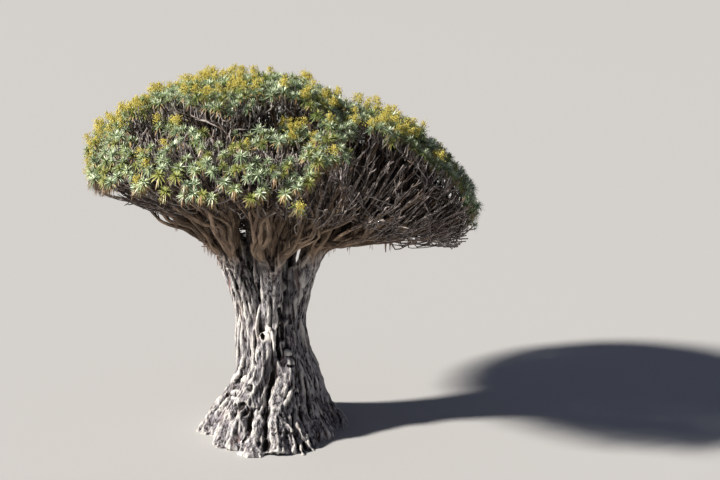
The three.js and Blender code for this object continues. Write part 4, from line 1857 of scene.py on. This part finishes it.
# %% Grow the twigs
EVEN_STEPS = 1.6
BEND = 0.62
FORK_WANDER = 0.07
FORK_BACK = 0.88
FORK_ON = 0.05
SHOOT_STEP = 0.7
SHOOT_WANDER = 0.04
SHOOT_FOOT = 1.1


def shoot_of(tuft):
    """The points and radii of the shoot that a tuft stands on."""
    girth = TIP_RADIUS * tuft.girth
    count = 1 + int(np.linalg.norm(tuft.end - tuft.base) / SHOOT_STEP)
    points = [tuft.base]
    for k in range(1, count + 1):
        points.append(mix(tuft.base, tuft.end, k / (count + 1)) + rng.normal(0, SHOOT_WANDER, 3))
    return points + [tuft.end], [girth * SHOOT_FOOT] + [girth] * (count + 1)


def grow(twigs, points, radii, tufts, way):
    if len(tufts) == 1:
        shoot, girths = shoot_of(tufts[0])
        twigs.append((points + shoot, radii + girths, tufts[0].kind))
        return
    here = points[-1]
    gap = np.mean([tuft.base for tuft in tufts], axis=0) - here
    distance = np.linalg.norm(gap)
    stride = distance / (math.log2(len(tufts)) + EVEN_STEPS)
    fork = here + unit(mix(way, gap / distance, BEND)) * stride
    fork = fork + rng.normal(0, FORK_WANDER, 3) * stride
    way = unit(fork - here)
    near, far = halves(tufts)
    if rng.random() < 0.5:
        near, far = far, near
    radius = thickness(len(tufts))
    grow(twigs, points + [fork], radii + [radius], near, way)
    start = [mix(here, fork, FORK_BACK), fork + way * stride * FORK_ON]
    grow(twigs, start, [thickness(len(far))] * 2, far, way)


twigs = []
for mass in masses:
    for ends, tufts in mass.roots:
        grow(twigs, [ends[0], ends[1]], [thickness(len(tufts))] * 2, tufts, unit(ends[1] - ends[0]))
print("twigs:", len(twigs))

# %% [markdown]
# ## Side shoots
# Between the limbs the crown is dark, because dead shoots stand up from every limb and shade one
# another, and their nearly black colour is painted shade as well. Each one starts on a limb, turns
# upwards and ends well inside the crown. The formula of the crown's surface tells how much room
# there is round a point. Behind the forks a tangle of dead twigs stands out in every direction near
# the foot of each bough, and many bare tips end in short fingers.

# %% Side shoots
SHOOTS_PER_METRE = {"front": 2.8, "back": 5.5}
SHOOT_SPOTS = (0.12, 1.0)
SHOOT_OUTWARD = (0.2, 1.0)
SHOOT_SWING = 0.30
SHOOT_LENGTH = (0.5, 1.7)
SHOOT_BEND = 0.06
SHOOT_LIFT = 0.3
SHOOT_RADIUS = (0.018, 0.038)
SHOOT_TAPER = (1.0, 0.8, 0.6)
LEAST_ROOM = 0.30
FRONT_Y = -0.8
FRONT_TOP = 11.5
FRONT_LOST = 0.8
TANGLE = 16
TANGLE_FROM_Y = 0.5
TANGLE_SPOTS = (0.04, 0.50)
TANGLE_SQUASH = (1, 1, 0.45)
TANGLE_UP = 0.40
TANGLE_SWING = 0.3
TANGLE_LENGTH = (0.4, 1.2)
TANGLE_RADIUS = (0.020, 0.040)
TANGLE_RISES = (0.05, 0.10)
FINGERS = {"bare": (0, 4), "upright": (0, 3)}
FINGER_SPOTS = (0.05, 0.5)
FINGER_SWING = 0.42
FINGER_LENGTH = (0.20, 0.60)
FINGER_LIFT = 0.35
FINGER_TAPER = (0.9, 0.85, 0.7)


def room(place):
    """1 in the crown's middle and 0 on its surface."""
    reach = math.hypot(place[0] - CROWN_X, place[1] / DEPTH_SHARE) / REACH
    side = (place[0] - CROWN_X) / max(REACH * reach, 0.01)
    rim = RIM_HEIGHT - RIM_TILT * side
    climb = (place[2] - rim) / (TOP - TIER_DROP - rim if place[2] > rim else UNDERHANG)
    return 1 - reach ** (FULLNESS - FULLNESS_TILT * side) - climb * climb


def tapering(radius, shares):
    return [radius * share for share in shares]


def side_shoots(path):
    density = SHOOTS_PER_METRE["back" if path[-1][1] > 0 else "front"]
    for spot in rng.uniform(*SHOOT_SPOTS, int(length_of(path) * density)):
        place = sample(path, np.array([spot]))[0]
        outward = unit(place - SPRING) * rng.uniform(*SHOOT_OUTWARD)
        way = unit(outward + UP + rng.normal(0, SHOOT_SWING, 3))
        reach = rng.uniform(*SHOOT_LENGTH)
        knee = place + way * reach * 0.5 + rng.normal(0, SHOOT_BEND, 3)
        end = knee + unit(way + UP * SHOOT_LIFT) * reach * 0.5
        radius = rng.uniform(*SHOOT_RADIUS)
        in_front = place[1] < FRONT_Y and place[2] < FRONT_TOP
        if room(end) > LEAST_ROOM and not (in_front and rng.random() < FRONT_LOST):
            twigs.append(([place, knee, end], tapering(radius, SHOOT_TAPER), "side"))


def tangle(path):
    """Dead twigs that stand out in every direction near the foot of a bough."""
    for spot in rng.uniform(*TANGLE_SPOTS, TANGLE):
        place = sample(path, np.array([spot]))[0]
        way = unit(rng.normal(0, 1, 3) * TANGLE_SQUASH + UP * TANGLE_UP)
        reach = rng.uniform(*TANGLE_LENGTH)
        knee = place + way * reach * 0.5
        knee[2] = max(knee[2], place[2] + TANGLE_RISES[0])
        end = knee + unit(way + rng.normal(0, TANGLE_SWING, 3)) * reach * 0.5
        end[2] = max(end[2], place[2] + TANGLE_RISES[1])
        radius = rng.uniform(*TANGLE_RADIUS)
        twigs.append(([place, knee, end], tapering(radius, SHOOT_TAPER), "side"))


def fingers(tuft):
    """Short forks near the end of a bare tip."""
    for _ in range(int(rng.integers(*FINGERS[tuft.kind]))):
        root = mix(tuft.end, tuft.base, rng.uniform(*FINGER_SPOTS))
        way = unit(tuft.way + rng.normal(0, FINGER_SWING, 3))
        reach = rng.uniform(*FINGER_LENGTH)
        knee = root + way * reach * 0.5
        end = knee + unit(way + UP * FINGER_LIFT) * reach * 0.5
        if room(end) > 0:
            girths = tapering(TIP_RADIUS * tuft.girth, FINGER_TAPER)
            twigs.append(([root, knee, end], girths, tuft.kind))


for mass in masses:
    for path in mass.limb_paths:
        side_shoots(path)
        if mass.start[1] > TANGLE_FROM_Y:
            tangle(path)
    for tuft in mass.tufts:
        if tuft.kind in FINGERS:
            fingers(tuft)
print("with side shoots and fingers:", len(twigs))

# %% [markdown]
# ## Twigs as one mesh
# Eleven thousand twigs as objects would stop Blender, and curves would be heavy to export. So the
# tubes are worked out as arrays: a ring of four points, or of seven on a thick twig, is set round
# each point of the path, and all rings of one kind go into one mesh, or into two where it would
# grow too big. The twigs that show are smoothed a little first. Leafy twigs are pale, thick limbs
# brown, and bare twigs grey. The twigs inside the crown, the side shoots and the tangle are painted
# nearly black: painted shade of the crown's inside.

# %% Tubes from arrays
THIN_SIDES = 4
THICK_SIDES = 7
PIECE_LIMIT = 190000
TWIG_GRAIN = (3.5, 5.0, 0.65)
TWIG_MASK = (0.35, 0.68)
TWIG_RINGS = (24.0, 3.0)
TWIG_BUMP = {"Strength": 0.4, "Distance": 0.015}


def softened(points, radii):
    """A path with a point added in each span, on a smooth curve."""
    points = np.array(points)
    radii = np.array(radii, float)
    slopes = np.gradient(points, axis=0) / 3
    handles = [points[:-1], points[:-1] + slopes[:-1], points[1:] - slopes[1:], points[1:]]
    between = bezier(handles, 0.5)
    path = np.empty((2 * len(points) - 1, 3))
    path[0::2] = points
    path[1::2] = between
    return path, np.interp(np.arange(len(path)) / 2, np.arange(len(points)), radii)


def tube(points, radii, sides):
    """Places and triangles of a tube along a path, closed at both ends."""
    across, side = frames_along(points)
    turn = np.arange(sides) * TURN / sides
    ring = np.cos(turn)[None, :, None] * across[:, None, :]
    ring = ring + np.sin(turn)[None, :, None] * side[:, None, :]
    places = (points[:, None, :] + ring * radii[:, None, None]).reshape(-1, 3)
    row = np.arange(len(points) - 1)[:, None] * sides
    here = row + np.arange(sides)
    beside = row + (np.arange(sides) + 1) % sides
    lower = np.stack([here, beside, beside + sides], axis=-1).reshape(-1, 3)
    upper = np.stack([here, beside + sides, here + sides], axis=-1).reshape(-1, 3)
    last = (len(points) - 1) * sides
    caps = [[last, last + k, last + k + 1] for k in range(1, sides - 1)]
    caps += [[0, k + 1, k] for k in range(1, sides - 1)]
    return places, np.concatenate([lower, upper, np.array(caps)])


def gathered(shapes):
    """Many shapes, each as places and triangles, as one."""
    places = np.concatenate([shape[0] for shape in shapes])
    starts = np.cumsum([0] + [len(shape[0]) for shape in shapes[:-1]])
    triangles = np.concatenate([shape[1] + start for shape, start in zip(shapes, starts)])
    return places, triangles


def mesh_piece(name, places, triangles, material, smooth):
    mesh = bpy.data.meshes.new(name)
    mesh.vertices.add(len(places))
    mesh.vertices.foreach_set("co", np.ascontiguousarray(places, dtype=np.float32).ravel())
    mesh.loops.add(len(triangles) * 3)
    mesh.loops.foreach_set("vertex_index", triangles.ravel().astype(np.int32))
    mesh.polygons.add(len(triangles))
    mesh.polygons.foreach_set("loop_start", np.arange(0, len(triangles) * 3, 3, dtype=np.int32))
    mesh.update(calc_edges=True)
    if smooth:
        mesh.shade_smooth()
    mesh.materials.append(material)
    piece = bpy.data.objects.new(name, mesh)
    bpy.context.scene.collection.objects.link(piece)
    return piece


foliage_nodes = [f"foliage_{mass.name}" for mass in masses]


def seat(piece):
    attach(piece, "root")
    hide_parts(*foliage_nodes)
    print(piece.name, len(piece.data.polygons), "triangles")


def seat_shapes(name, shapes, material, smooth=True):
    """One piece from many shapes, or several where there are too many triangles for one."""
    total = np.cumsum([len(triangles) for _, triangles in shapes])
    parts = math.ceil(total[-1] / PIECE_LIMIT)
    bounds = [0, *np.searchsorted(total, total[-1] * np.arange(1, parts) / parts), len(shapes)]
    for part, (first, last) in enumerate(zip(bounds, bounds[1:])):
        label = name if parts == 1 else f"{name}_{part + 1}"
        seat(mesh_piece(label, *gathered(shapes[first:last]), material, smooth))


def twig_bark(name, pale, dull):
    material, wire, shader = blank_material(name)
    place = wire.node("ShaderNodeTexCoord", output="Object")
    grain = clouds(wire, place, *TWIG_GRAIN)
    feed(shader, "Base Color", grain.between(*TWIG_MASK).blend(dull, pale))
    feed(shader, "Roughness", 0.92 - grain * 0.2)
    rings = clouds(wire, place, *TWIG_RINGS)
    bump = wire.node("ShaderNodeBump", {}, {**TWIG_BUMP, "Height": rings})
    feed(shader, "Normal", bump)
    return material


TWIG_SPLIT = 0.05
PALE_SHARE = {"leafy": 1.0, "upright": 0.5, "bare": 0.0}
TWIG_TONES = {
    "pale": ((0.54, 0.49, 0.46, 1.0), (0.20, 0.165, 0.155, 1.0)),
    "brown": ((0.25, 0.180, 0.138, 1.0), (0.064, 0.043, 0.035, 1.0)),
    "grey": ((0.39, 0.335, 0.305, 1.0), (0.048, 0.035, 0.031, 1.0)),
    # Painted shade: the twigs inside the crown, the side shoots and the tangle are nearly black.
    "dark_shade": ((0.075, 0.053, 0.044, 1.0), (0.018, 0.012, 0.010, 1.0)),
}
piles = {tone: [] for tone in TWIG_TONES}


def pile_of(kind, thick):
    if thick:
        return "brown"
    # Inner twigs, side shoots and the tangle get the painted shade colour.
    if kind not in PALE_SHARE:
        return "dark_shade"
    return "pale" if rng.random() < PALE_SHARE[kind] else "grey"


for points, radii, kind in twigs:
    thick = max(radii) > TWIG_SPLIT
    pile = pile_of(kind, thick)
    path, girths = np.array(points), np.array(radii)
    if pile != "dark_shade":
        path, girths = softened(points, radii)
    piles[pile].append(tube(path, girths, THICK_SIDES if thick else THIN_SIDES))
for tone, colours in TWIG_TONES.items():
    seat_shapes(f"twigs_{tone}", piles[tone], twig_bark(f"{tone}_twig", *colours))

# %% [markdown]
# ## Rosettes
# A rosette is a ball of stiff sword leaves. The young ones stand up in the middle, the old ones bow
# out and down. A leaf is a narrow strip of five triangles that widens, narrows to a point and
# droops. All leaves of all rosettes are worked out in one go. Leaves turn round the twig by the
# golden angle, as real ones do, which leaves no gap on any side.

# %% Rosettes from arrays
LEAVES = 46
LEAF_LENGTH = 0.375
LEAF_WIDTH = 0.043
GOLDEN = math.radians(137.508)
INNER_LEAN = math.radians(6)
OUTER_LEAN = math.radians(112)
LEAN_SWING = 0.12
TURN_SWING = 0.15
AXIS_SWING = 0.10
LENGTH_BY_PLACE = (0.72, 1.08)
LENGTH_BY_CHANCE = (0.82, 1.14)
WIDTH_BY_PLACE = (0.8, 1.15)
DROOP_BY_PLACE = (0.02, 0.36)
ROSETTE_SIZES = (0.78, 1.16)
STATIONS = np.array([0.0, 0.42, 0.80, 1.0])
BREADTHS = np.array([0.55, 1.0, 0.62, 0.0])
LEAF_TRIANGLES = np.array([[0, 1, 3], [0, 3, 2], [2, 3, 5], [2, 5, 4], [4, 5, 6]])


def leaf_ways(axes):
    """For each rosette, the way of each leaf and the way across it."""
    count = len(axes)
    order = (np.arange(LEAVES) + 0.5) / LEAVES
    lean = np.arccos(mix(math.cos(INNER_LEAN), math.cos(OUTER_LEAN), order))[None, :]
    lean = lean + rng.normal(0, LEAN_SWING, (count, LEAVES))
    turn = np.arange(LEAVES) * GOLDEN + rng.random((count, 1)) * TURN
    turn = turn + rng.normal(0, TURN_SWING, (count, LEAVES))
    first = unit(np.cross(axes, np.where(np.abs(axes[:, 2:]) > UPRIGHT, FORWARD, UP)))
    second = np.cross(axes, first)
    sideways = np.cos(turn)[..., None] * first[:, None] + np.sin(turn)[..., None] * second[:, None]
    ways = np.cos(lean)[..., None] * axes[:, None] + np.sin(lean)[..., None] * sideways
    return unit(ways), unit(np.cross(ways, axes[:, None])), order


def leaf_places(ends, ways, across, order, sizes):
    """Seven points for each leaf: two at each of three stations, and the tip."""
    length = LEAF_LENGTH * sizes[:, None] * mix(*LENGTH_BY_PLACE, order)
    length = length * rng.uniform(*LENGTH_BY_CHANCE, ways.shape[:2])
    droop = mix(*DROOP_BY_PLACE, order)[None, :] * length
    width = LEAF_WIDTH * 0.5 * sizes[:, None] * mix(*WIDTH_BY_PLACE, order)
    run = STATIONS[:, None]
    line = ways[:, :, None] * (length[..., None, None] * run) - UP * (droop[..., None, None] * run**2)
    spread = across[:, :, None] * (width[..., None, None] * BREADTHS[:, None])
    middle = ends[:, None, None] + line
    pairs = np.stack([middle[:, :, :3] - spread[:, :, :3], middle[:, :, :3] + spread[:, :, :3]], axis=3)
    tips = middle[:, :, 3:4]
    return np.concatenate([pairs.reshape(*pairs.shape[:2], 6, 3), tips], axis=2)


leafy = [tuft for mass in masses for tuft in mass.tufts if tuft.kind == "leafy"]
ends = np.array([tuft.end for tuft in leafy])
axes = unit(np.array([tuft.way for tuft in leafy]) + rng.normal(0, AXIS_SWING, (len(leafy), 3)))
sizes = rng.uniform(*ROSETTE_SIZES, len(leafy))
ways, across, order = leaf_ways(axes)
leaves = leaf_places(ends, ways, across, order, sizes)
print("leaves:", leaves.shape[0] * leaves.shape[1])

# %% [markdown]
# ## Leaf colours
# From a distance a crown has several greens: blue-green where the leaves are young and waxy, a
# deeper green, a yellow green, and straw where old leaves hang. The pale waxy tone of the young
# upright leaves in each rosette's middle also serves as a painted highlight on the rosette's top.
# A pattern painted over so many small faces would be lost, so each leaf is dealt to a piece with its
# own colour, by its rosette and by its place in it. Within a colour, a slow noise shifts the tone
# from limb to limb.

# %% Leaf colours
LEAF_TONES = {
    # Waxy bloom and a painted highlight: the pale tone of the young upright leaves.
    "waxy": ((0.48, 0.57, 0.37, 1.0), (0.76, 0.84, 0.61, 1.0)),
    "blue_green": ((0.120, 0.180, 0.095, 1.0), (0.250, 0.325, 0.175, 1.0)),
    "green": ((0.105, 0.150, 0.038, 1.0), (0.220, 0.275, 0.085, 1.0)),
    "yellow_green": ((0.22, 0.25, 0.060, 1.0), (0.38, 0.39, 0.12, 1.0)),
    "straw": ((0.30, 0.17, 0.065, 1.0), (0.50, 0.38, 0.19, 1.0)),
}
WAXY_AND_HIGHLIGHT, BLUE_GREEN, GREEN, YELLOW_GREEN, STRAW = range(len(LEAF_TONES))
LEAF_SHEEN = 0.35
LEAF_SLOW = (0.9, 3.0)
LEAF_QUICK = (9.0, 3.0)
LEAF_MASK = (0.36, 0.64)
PATCH_SCALE = 0.45
PATCH_SHARE = 0.22
GREEN_FROM = 0.50
YELLOW_FROM = 0.88
YOUNG_UP_TO = 0.55
YOUNG_SHARE = 0.62
YOUNG_YELLOW_FROM = 0.78
YOUNG_YELLOW_UP_TO = 0.45
YOUNG_YELLOW_SHARE = 0.7
OLD_FROM = 0.84
OLD_SHARE = 0.42
OLD_ON_CLIFF = 0.4
CLIFF_LIFT = 0.14


def leaf_material(name, dull, bright):
    material, wire, shader = blank_material(name)
    place = wire.node("ShaderNodeTexCoord", output="Object")
    slow = clouds(wire, place, *LEAF_SLOW)
    quick = clouds(wire, place, *LEAF_QUICK)
    tone = slow * 0.5 + quick * 0.5
    feed(shader, "Base Color", tone.between(*LEAF_MASK).blend(dull, bright))
    feed(shader, "Roughness", 0.30 + quick * 0.2)
    shader.inputs["Specular IOR Level"].default_value = LEAF_SHEEN
    return material


def deal_leaves():
    """The tone of each leaf: by its rosette, paler in the rosette's middle, where young waxy leaves carry
    a painted highlight, and dry at its outside.
    """
    patch = lumps(ends * PATCH_SCALE, 21)
    rosette = np.clip(rng.random(len(leafy)) + PATCH_SHARE * patch, 0, 1)[:, None]
    place = np.broadcast_to(order, (len(leafy), LEAVES))
    chance = rng.random((len(leafy), LEAVES))
    tone = np.where(rosette < GREEN_FROM, BLUE_GREEN, GREEN)
    tone = np.where(rosette > YELLOW_FROM, YELLOW_GREEN, tone)
    # The young upright leaves get the pale waxy tone, which is also a painted highlight on the rosette's
    # top.
    waxy = (place < YOUNG_UP_TO) & (rosette < YOUNG_YELLOW_FROM) & (chance < YOUNG_SHARE)
    tone = np.where(waxy, WAXY_AND_HIGHLIGHT, tone)
    yellow = (place < YOUNG_YELLOW_UP_TO) & (rosette >= YOUNG_YELLOW_FROM) & (chance < YOUNG_YELLOW_SHARE)
    tone = np.where(yellow, YELLOW_GREEN, tone)
    shares = [OLD_SHARE + OLD_ON_CLIFF * in_cliff(tuft.angle, tuft.rise - CLIFF_LIFT) for tuft in leafy]
    return np.where((place > OLD_FROM) & (chance < np.array(shares)[:, None]), STRAW, tone)


def leaf_piece(name, chosen, material):
    places = chosen.reshape(-1, 3)
    starts = np.arange(len(chosen))[:, None, None] * chosen.shape[1]
    triangles = (LEAF_TRIANGLES[None] + starts).reshape(-1, 3)
    seat(mesh_piece(name, places, triangles, material, False))


dealt = deal_leaves()
leaf_paints = {tone: leaf_material(f"{tone}_leaf", *colours) for tone, colours in LEAF_TONES.items()}
for number, tone in enumerate(LEAF_TONES):
    chosen = leaves[dealt == number]
    parts = math.ceil(len(chosen) * len(LEAF_TRIANGLES) / PIECE_LIMIT)
    for part, some in enumerate(np.array_split(chosen, parts)):
        leaf_piece(f"leaves_{tone}_{part + 1}", some, leaf_paints[tone])

# %% [markdown]
# ## Flower heads
# In summer the upper rosettes carry branched heads of small yellow flowers. Each head is a short
# stalk with side sprigs, and every sprig is beaded with blossoms. A blossom is a tetrahedron, four
# faces, because from any distance it is only a speck.

# %% Flower heads
# Where rosettes flower: the middle of a place, as a rise or an angle, and its width.
FLOWERS_HIGH = (math.radians(60), math.radians(14))
FLOWERS_LEFT = (math.radians(176), math.radians(45))
FLOWERS_LEFT_FROM = 0.05
FLOWERS_RIGHT = (math.radians(-35), math.radians(30))
FLOWERS_RIGHT_RISE = (math.radians(48), math.radians(12))
# The share in flower anywhere, and how much more high up, at the left and at the right.
FLOWER_SHARES = (0.09, 0.32, 0.42, 0.34)
FLOWER_PATCH_SCALE = 0.7
FLOWER_PATCH_CONTRAST = 1.4
FLOWER_HEIGHT = 0.44
FLOWER_SIZES = (0.75, 1.15)
SPRIGS = 20
SPRIG_SPOTS = (0.4, 1.0)
SPRIG_LEANS = (1.35, 0.45)
SPRIG_SWING = 0.2
SPRIG_LENGTHS = (0.36, 0.18)
SPRIG_SIZES = (0.6, 1.15)
SPRIG_RADII = np.array([0.006, 0.003])
STALK_RADII = np.array([0.014, 0.006])
STALK_SIDES = 3
STALK_TONES = ((0.46, 0.44, 0.10, 1.0), (0.28, 0.30, 0.08, 1.0))
BEADS = 6
BEAD_SPOTS = (0.3, 1.0)
BEAD_SIZE = 0.025
BEAD_SIZES = (0.7, 1.4)
BEAD_SWING = 0.036
PETAL_NOISE = (3.0, 4.0)
PETAL_MASK = (0.36, 0.66)
PETAL_DULL = (0.52, 0.42, 0.055, 1.0)
PETAL_BRIGHT = (0.84, 0.72, 0.18, 1.0)
TETRA = np.array([[1, 1, 1], [1, -1, -1], [-1, 1, -1], [-1, -1, 1]]) / math.sqrt(3)
TETRA_FACES = np.array([[0, 1, 2], [0, 3, 1], [0, 2, 3], [1, 3, 2]])


def flower_share(tuft):
    """The share of rosettes in flower, by place: most on the rim of the upper tier and on the left."""
    high = fade(tuft.rise, *FLOWERS_HIGH)
    left = fade(angle_between(tuft.angle, FLOWERS_LEFT[0]), 0, FLOWERS_LEFT[1])
    left *= tuft.rise > FLOWERS_LEFT_FROM
    right = fade(angle_between(tuft.angle, FLOWERS_RIGHT[0]), 0, FLOWERS_RIGHT[1])
    right *= fade(tuft.rise, *FLOWERS_RIGHT_RISE)
    patch = step(0.5 + FLOWER_PATCH_CONTRAST * lumps(tuft.end[None] * FLOWER_PATCH_SCALE, 8)[0])
    anywhere, on_top, at_left, at_right = FLOWER_SHARES
    return (anywhere + on_top * high + at_left * left + at_right * right) * patch


def flower_head(tuft, axis):
    """The stalk, the sprigs and the beads of one head, as paths and as places."""
    height_of_head = FLOWER_HEIGHT * rng.uniform(*FLOWER_SIZES)
    turn = np.arange(SPRIGS) * GOLDEN + rng.random() * TURN
    first = unit(np.cross(axis, FORWARD if abs(axis[2]) > UPRIGHT else UP))
    second = np.cross(axis, first)
    height = np.linspace(*SPRIG_SPOTS, SPRIGS) * height_of_head
    roots = tuft.end + axis * height[:, None]
    lean = np.linspace(*SPRIG_LEANS, SPRIGS) + rng.normal(0, SPRIG_SWING, SPRIGS)
    sideways = np.cos(turn)[:, None] * first + np.sin(turn)[:, None] * second
    ways = np.cos(lean)[:, None] * axis + np.sin(lean)[:, None] * sideways
    length = np.linspace(*SPRIG_LENGTHS, SPRIGS) * rng.uniform(*SPRIG_SIZES, SPRIGS)
    run = np.linspace(*BEAD_SPOTS, BEADS)
    beads = roots[:, None] + ways[:, None] * (length[:, None] * run)[..., None]
    beads = beads.reshape(-1, 3) + rng.normal(0, BEAD_SWING, (SPRIGS * BEADS, 3))
    line = np.array([tuft.end, tuft.end + axis * height_of_head])
    shapes = [tube(line, STALK_RADII, STALK_SIDES)]
    for root, way, size in zip(roots, ways, length):
        shapes.append(tube(np.array([root, root + way * size]), SPRIG_RADII, STALK_SIDES))
    return shapes, beads


def blossom_material():
    material, wire, shader = blank_material("blossom")
    place = wire.node("ShaderNodeTexCoord", output="Object")
    tone = clouds(wire, place, *PETAL_NOISE)
    feed(shader, "Base Color", tone.between(*PETAL_MASK).blend(PETAL_DULL, PETAL_BRIGHT))
    feed(shader, "Roughness", 0.55 + tone * 0.2)
    return material


stalks = []
beads = []
for tuft, axis in zip(leafy, axes):
    if rng.random() < flower_share(tuft):
        shapes, specks = flower_head(tuft, axis)
        stalks += shapes
        beads.append(specks)
specks = np.concatenate(beads)
growths = rng.uniform(*BEAD_SIZES, (len(specks), 1, 1))
corners = specks[:, None] + TETRA * (BEAD_SIZE * growths)
faces = TETRA_FACES + np.arange(SPRIGS * BEADS)[:, None, None] * len(TETRA)
shapes = [(head.reshape(-1, 3), faces.reshape(-1, 3)) for head in np.split(corners, len(beads))]
seat_shapes("blossom", shapes, blossom_material(), smooth=False)
stalk_green = twig_bark("stalk_green", *STALK_TONES)
seat_shapes("flower_stalks", stalks, stalk_green, smooth=False)
print("flower heads:", len(beads))

# %% [markdown]
# ## Aerial roots and a stub
# Under the lowest limbs at the left and at the right hang fringes of young aerial roots, thin as
# fingers, and one dead stub. All of them hang straight down from the limb that carries them, so
# each is a short tapered tube that starts inside it.

# %% Aerial roots and a stub
FRINGES = {"left": (math.radians(172), 1.0, 26), "right": (math.radians(-14), 1.1, 20)}
ROOTS_IN_FRINGE = 9
ROOT_TONES = ((0.50, 0.36, 0.28, 1.0), (0.20, 0.12, 0.09, 1.0))
ROOT_LENGTH = (0.22, 0.62)
ROOT_RADIUS = (0.008, 0.020)
ROOT_SIDES = 4
ROOT_STEPS = 4
ROOT_SWING = 0.012
ROOT_TAPER = 0.35
FRINGE_MIDDLE = (0.18, 0.62)
FRINGE_SPREAD = 0.012
ROOT_SUNK = 0.04
ROOT_ASIDE = (0.03, 0.03, 0.0)
STUB_X = 5.65
STUB_NEAR = 0.4
STUB_WIDTH = 0.5
STUB_LENGTH = 0.62
STUB_RADIUS = 0.065
STUB_SIDES = 7


def limbs_near(angle, width):
    """The limbs of the rim's masses that stand within a width of an angle."""
    rim = [mass for mass in masses if mass.ring == "rim"]
    near = [mass for mass in rim if abs(angle_between(mass.angle, angle)) < width]
    return [path for mass in near for path in mass.limb_paths]


def hanging(place, length, radius, sides):
    drop = np.linspace(0, 1, ROOT_STEPS)[:, None]
    points = place - UP * length * drop + rng.normal(0, ROOT_SWING, (ROOT_STEPS, 3)) * drop
    return tube(points, radius * np.linspace(1, ROOT_TAPER, ROOT_STEPS), sides)


def fringe(path):
    """A row of roots close together on one limb."""
    middle = rng.uniform(*FRINGE_MIDDLE)
    for spot in middle + rng.normal(0, FRINGE_SPREAD, ROOTS_IN_FRINGE):
        place = sample(path, np.array([spot]))[0] - UP * ROOT_SUNK + rng.normal(0, 1, 3) * ROOT_ASIDE
        yield hanging(place, rng.uniform(*ROOT_LENGTH), rng.uniform(*ROOT_RADIUS), ROOT_SIDES)


aerial = []
for angle, width, count in FRINGES.values():
    paths = limbs_near(angle, width)
    for _ in range(count):
        aerial += fringe(paths[int(rng.integers(len(paths)))])
spots = np.concatenate(limbs_near(0.0, STUB_WIDTH))
spots = spots[np.abs(spots[:, 0] - STUB_X) < STUB_NEAR]
stub_place = spots[np.argmin(spots[:, 2])]
aerial.append(hanging(stub_place, STUB_LENGTH, STUB_RADIUS, STUB_SIDES))
root_bark = twig_bark("root_bark", *ROOT_TONES)
seat_shapes("aerial_roots", aerial, root_bark)

# %% [markdown]
# ## Dead skirts
# Old leaves die and hang on for years. Long brown skirts of them hang from the rosettes at the left
# rim, and shorter ones, still the colour of straw, from the lowest rosettes at the front left. A
# dead leaf is a strip of three triangles that bows out a little and hangs down.

# %% Dead skirts
SKIRT_ANGLE = math.radians(178)
SKIRT_WIDTH = math.radians(34)
SKIRT_RISE = math.radians(2)
SKIRT_LEAVES = 26
SKIRT_LENGTH = 0.65
FRINGE_ANGLE = math.radians(-112)
FRINGE_WIDTH = math.radians(46)
FRINGE_RISE = math.radians(9)
FRINGE_LEAVES = 20
FRINGE_LENGTH = 0.55
SKIRT_BOW = (0.05, 0.22)
SKIRT_SIZES = (0.5, 1.1)
KNEE_DROP = 0.35
TIP_BOW = 1.3
SKIRT_NECK = 0.6
DEAD_TONES = ((0.14, 0.095, 0.065, 1.0), (0.34, 0.26, 0.18, 1.0))
OLD_TONES = ((0.15, 0.085, 0.040, 1.0), (0.46, 0.31, 0.15, 1.0))
STRIP_TRIANGLES = np.array([[0, 1, 3], [0, 3, 2], [2, 3, 4]])


def skirt_leaf(place, full_length):
    turn = rng.random() * TURN
    across = polar(LEAF_WIDTH * 0.5, turn, 0.0)
    outward = polar(rng.uniform(*SKIRT_BOW), turn + math.pi / 2, 0.0)
    length = full_length * rng.uniform(*SKIRT_SIZES)
    knee = place + outward - UP * length * KNEE_DROP
    tip = place + outward * TIP_BOW - UP * length
    half = across * SKIRT_NECK
    return np.array([place - half, place + half, knee - across, knee + across, tip]), STRIP_TRIANGLES


skirts = []
for tuft in leafy:
    if abs(angle_between(tuft.angle, SKIRT_ANGLE)) < SKIRT_WIDTH and tuft.rise < SKIRT_RISE:
        skirts += [skirt_leaf(tuft.end, SKIRT_LENGTH) for _ in range(SKIRT_LEAVES)]
dead_leaf = leaf_material("dead_leaf", *DEAD_TONES)
seat_shapes("dead_skirts", skirts, dead_leaf, smooth=False)
fringes = []
for tuft in leafy:
    near = abs(angle_between(tuft.angle, FRINGE_ANGLE)) < FRINGE_WIDTH
    if near and tuft.rise < lowest_rise(tuft.angle) + FRINGE_RISE:
        fringes += [skirt_leaf(tuft.end, FRINGE_LENGTH) for _ in range(FRINGE_LEAVES)]
old_leaf = leaf_material("old_leaf", *OLD_TONES)
seat_shapes("straw_skirts", fringes, old_leaf, smooth=False)

# %% [markdown]
# ## Sizes and the closing line
# The box round the tree with its looks is written out. The looks may not make the tree much bigger
# than the plain model. The bars that served as patterns are removed first.

# %% Sizes and finish
for pattern in (strand_bar, thick_bar, bough_bar, limb_bar):
    bpy.data.objects.remove(pattern)
low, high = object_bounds()
print("with its looks:", [round(c, 2) for c in (*low, *high)])
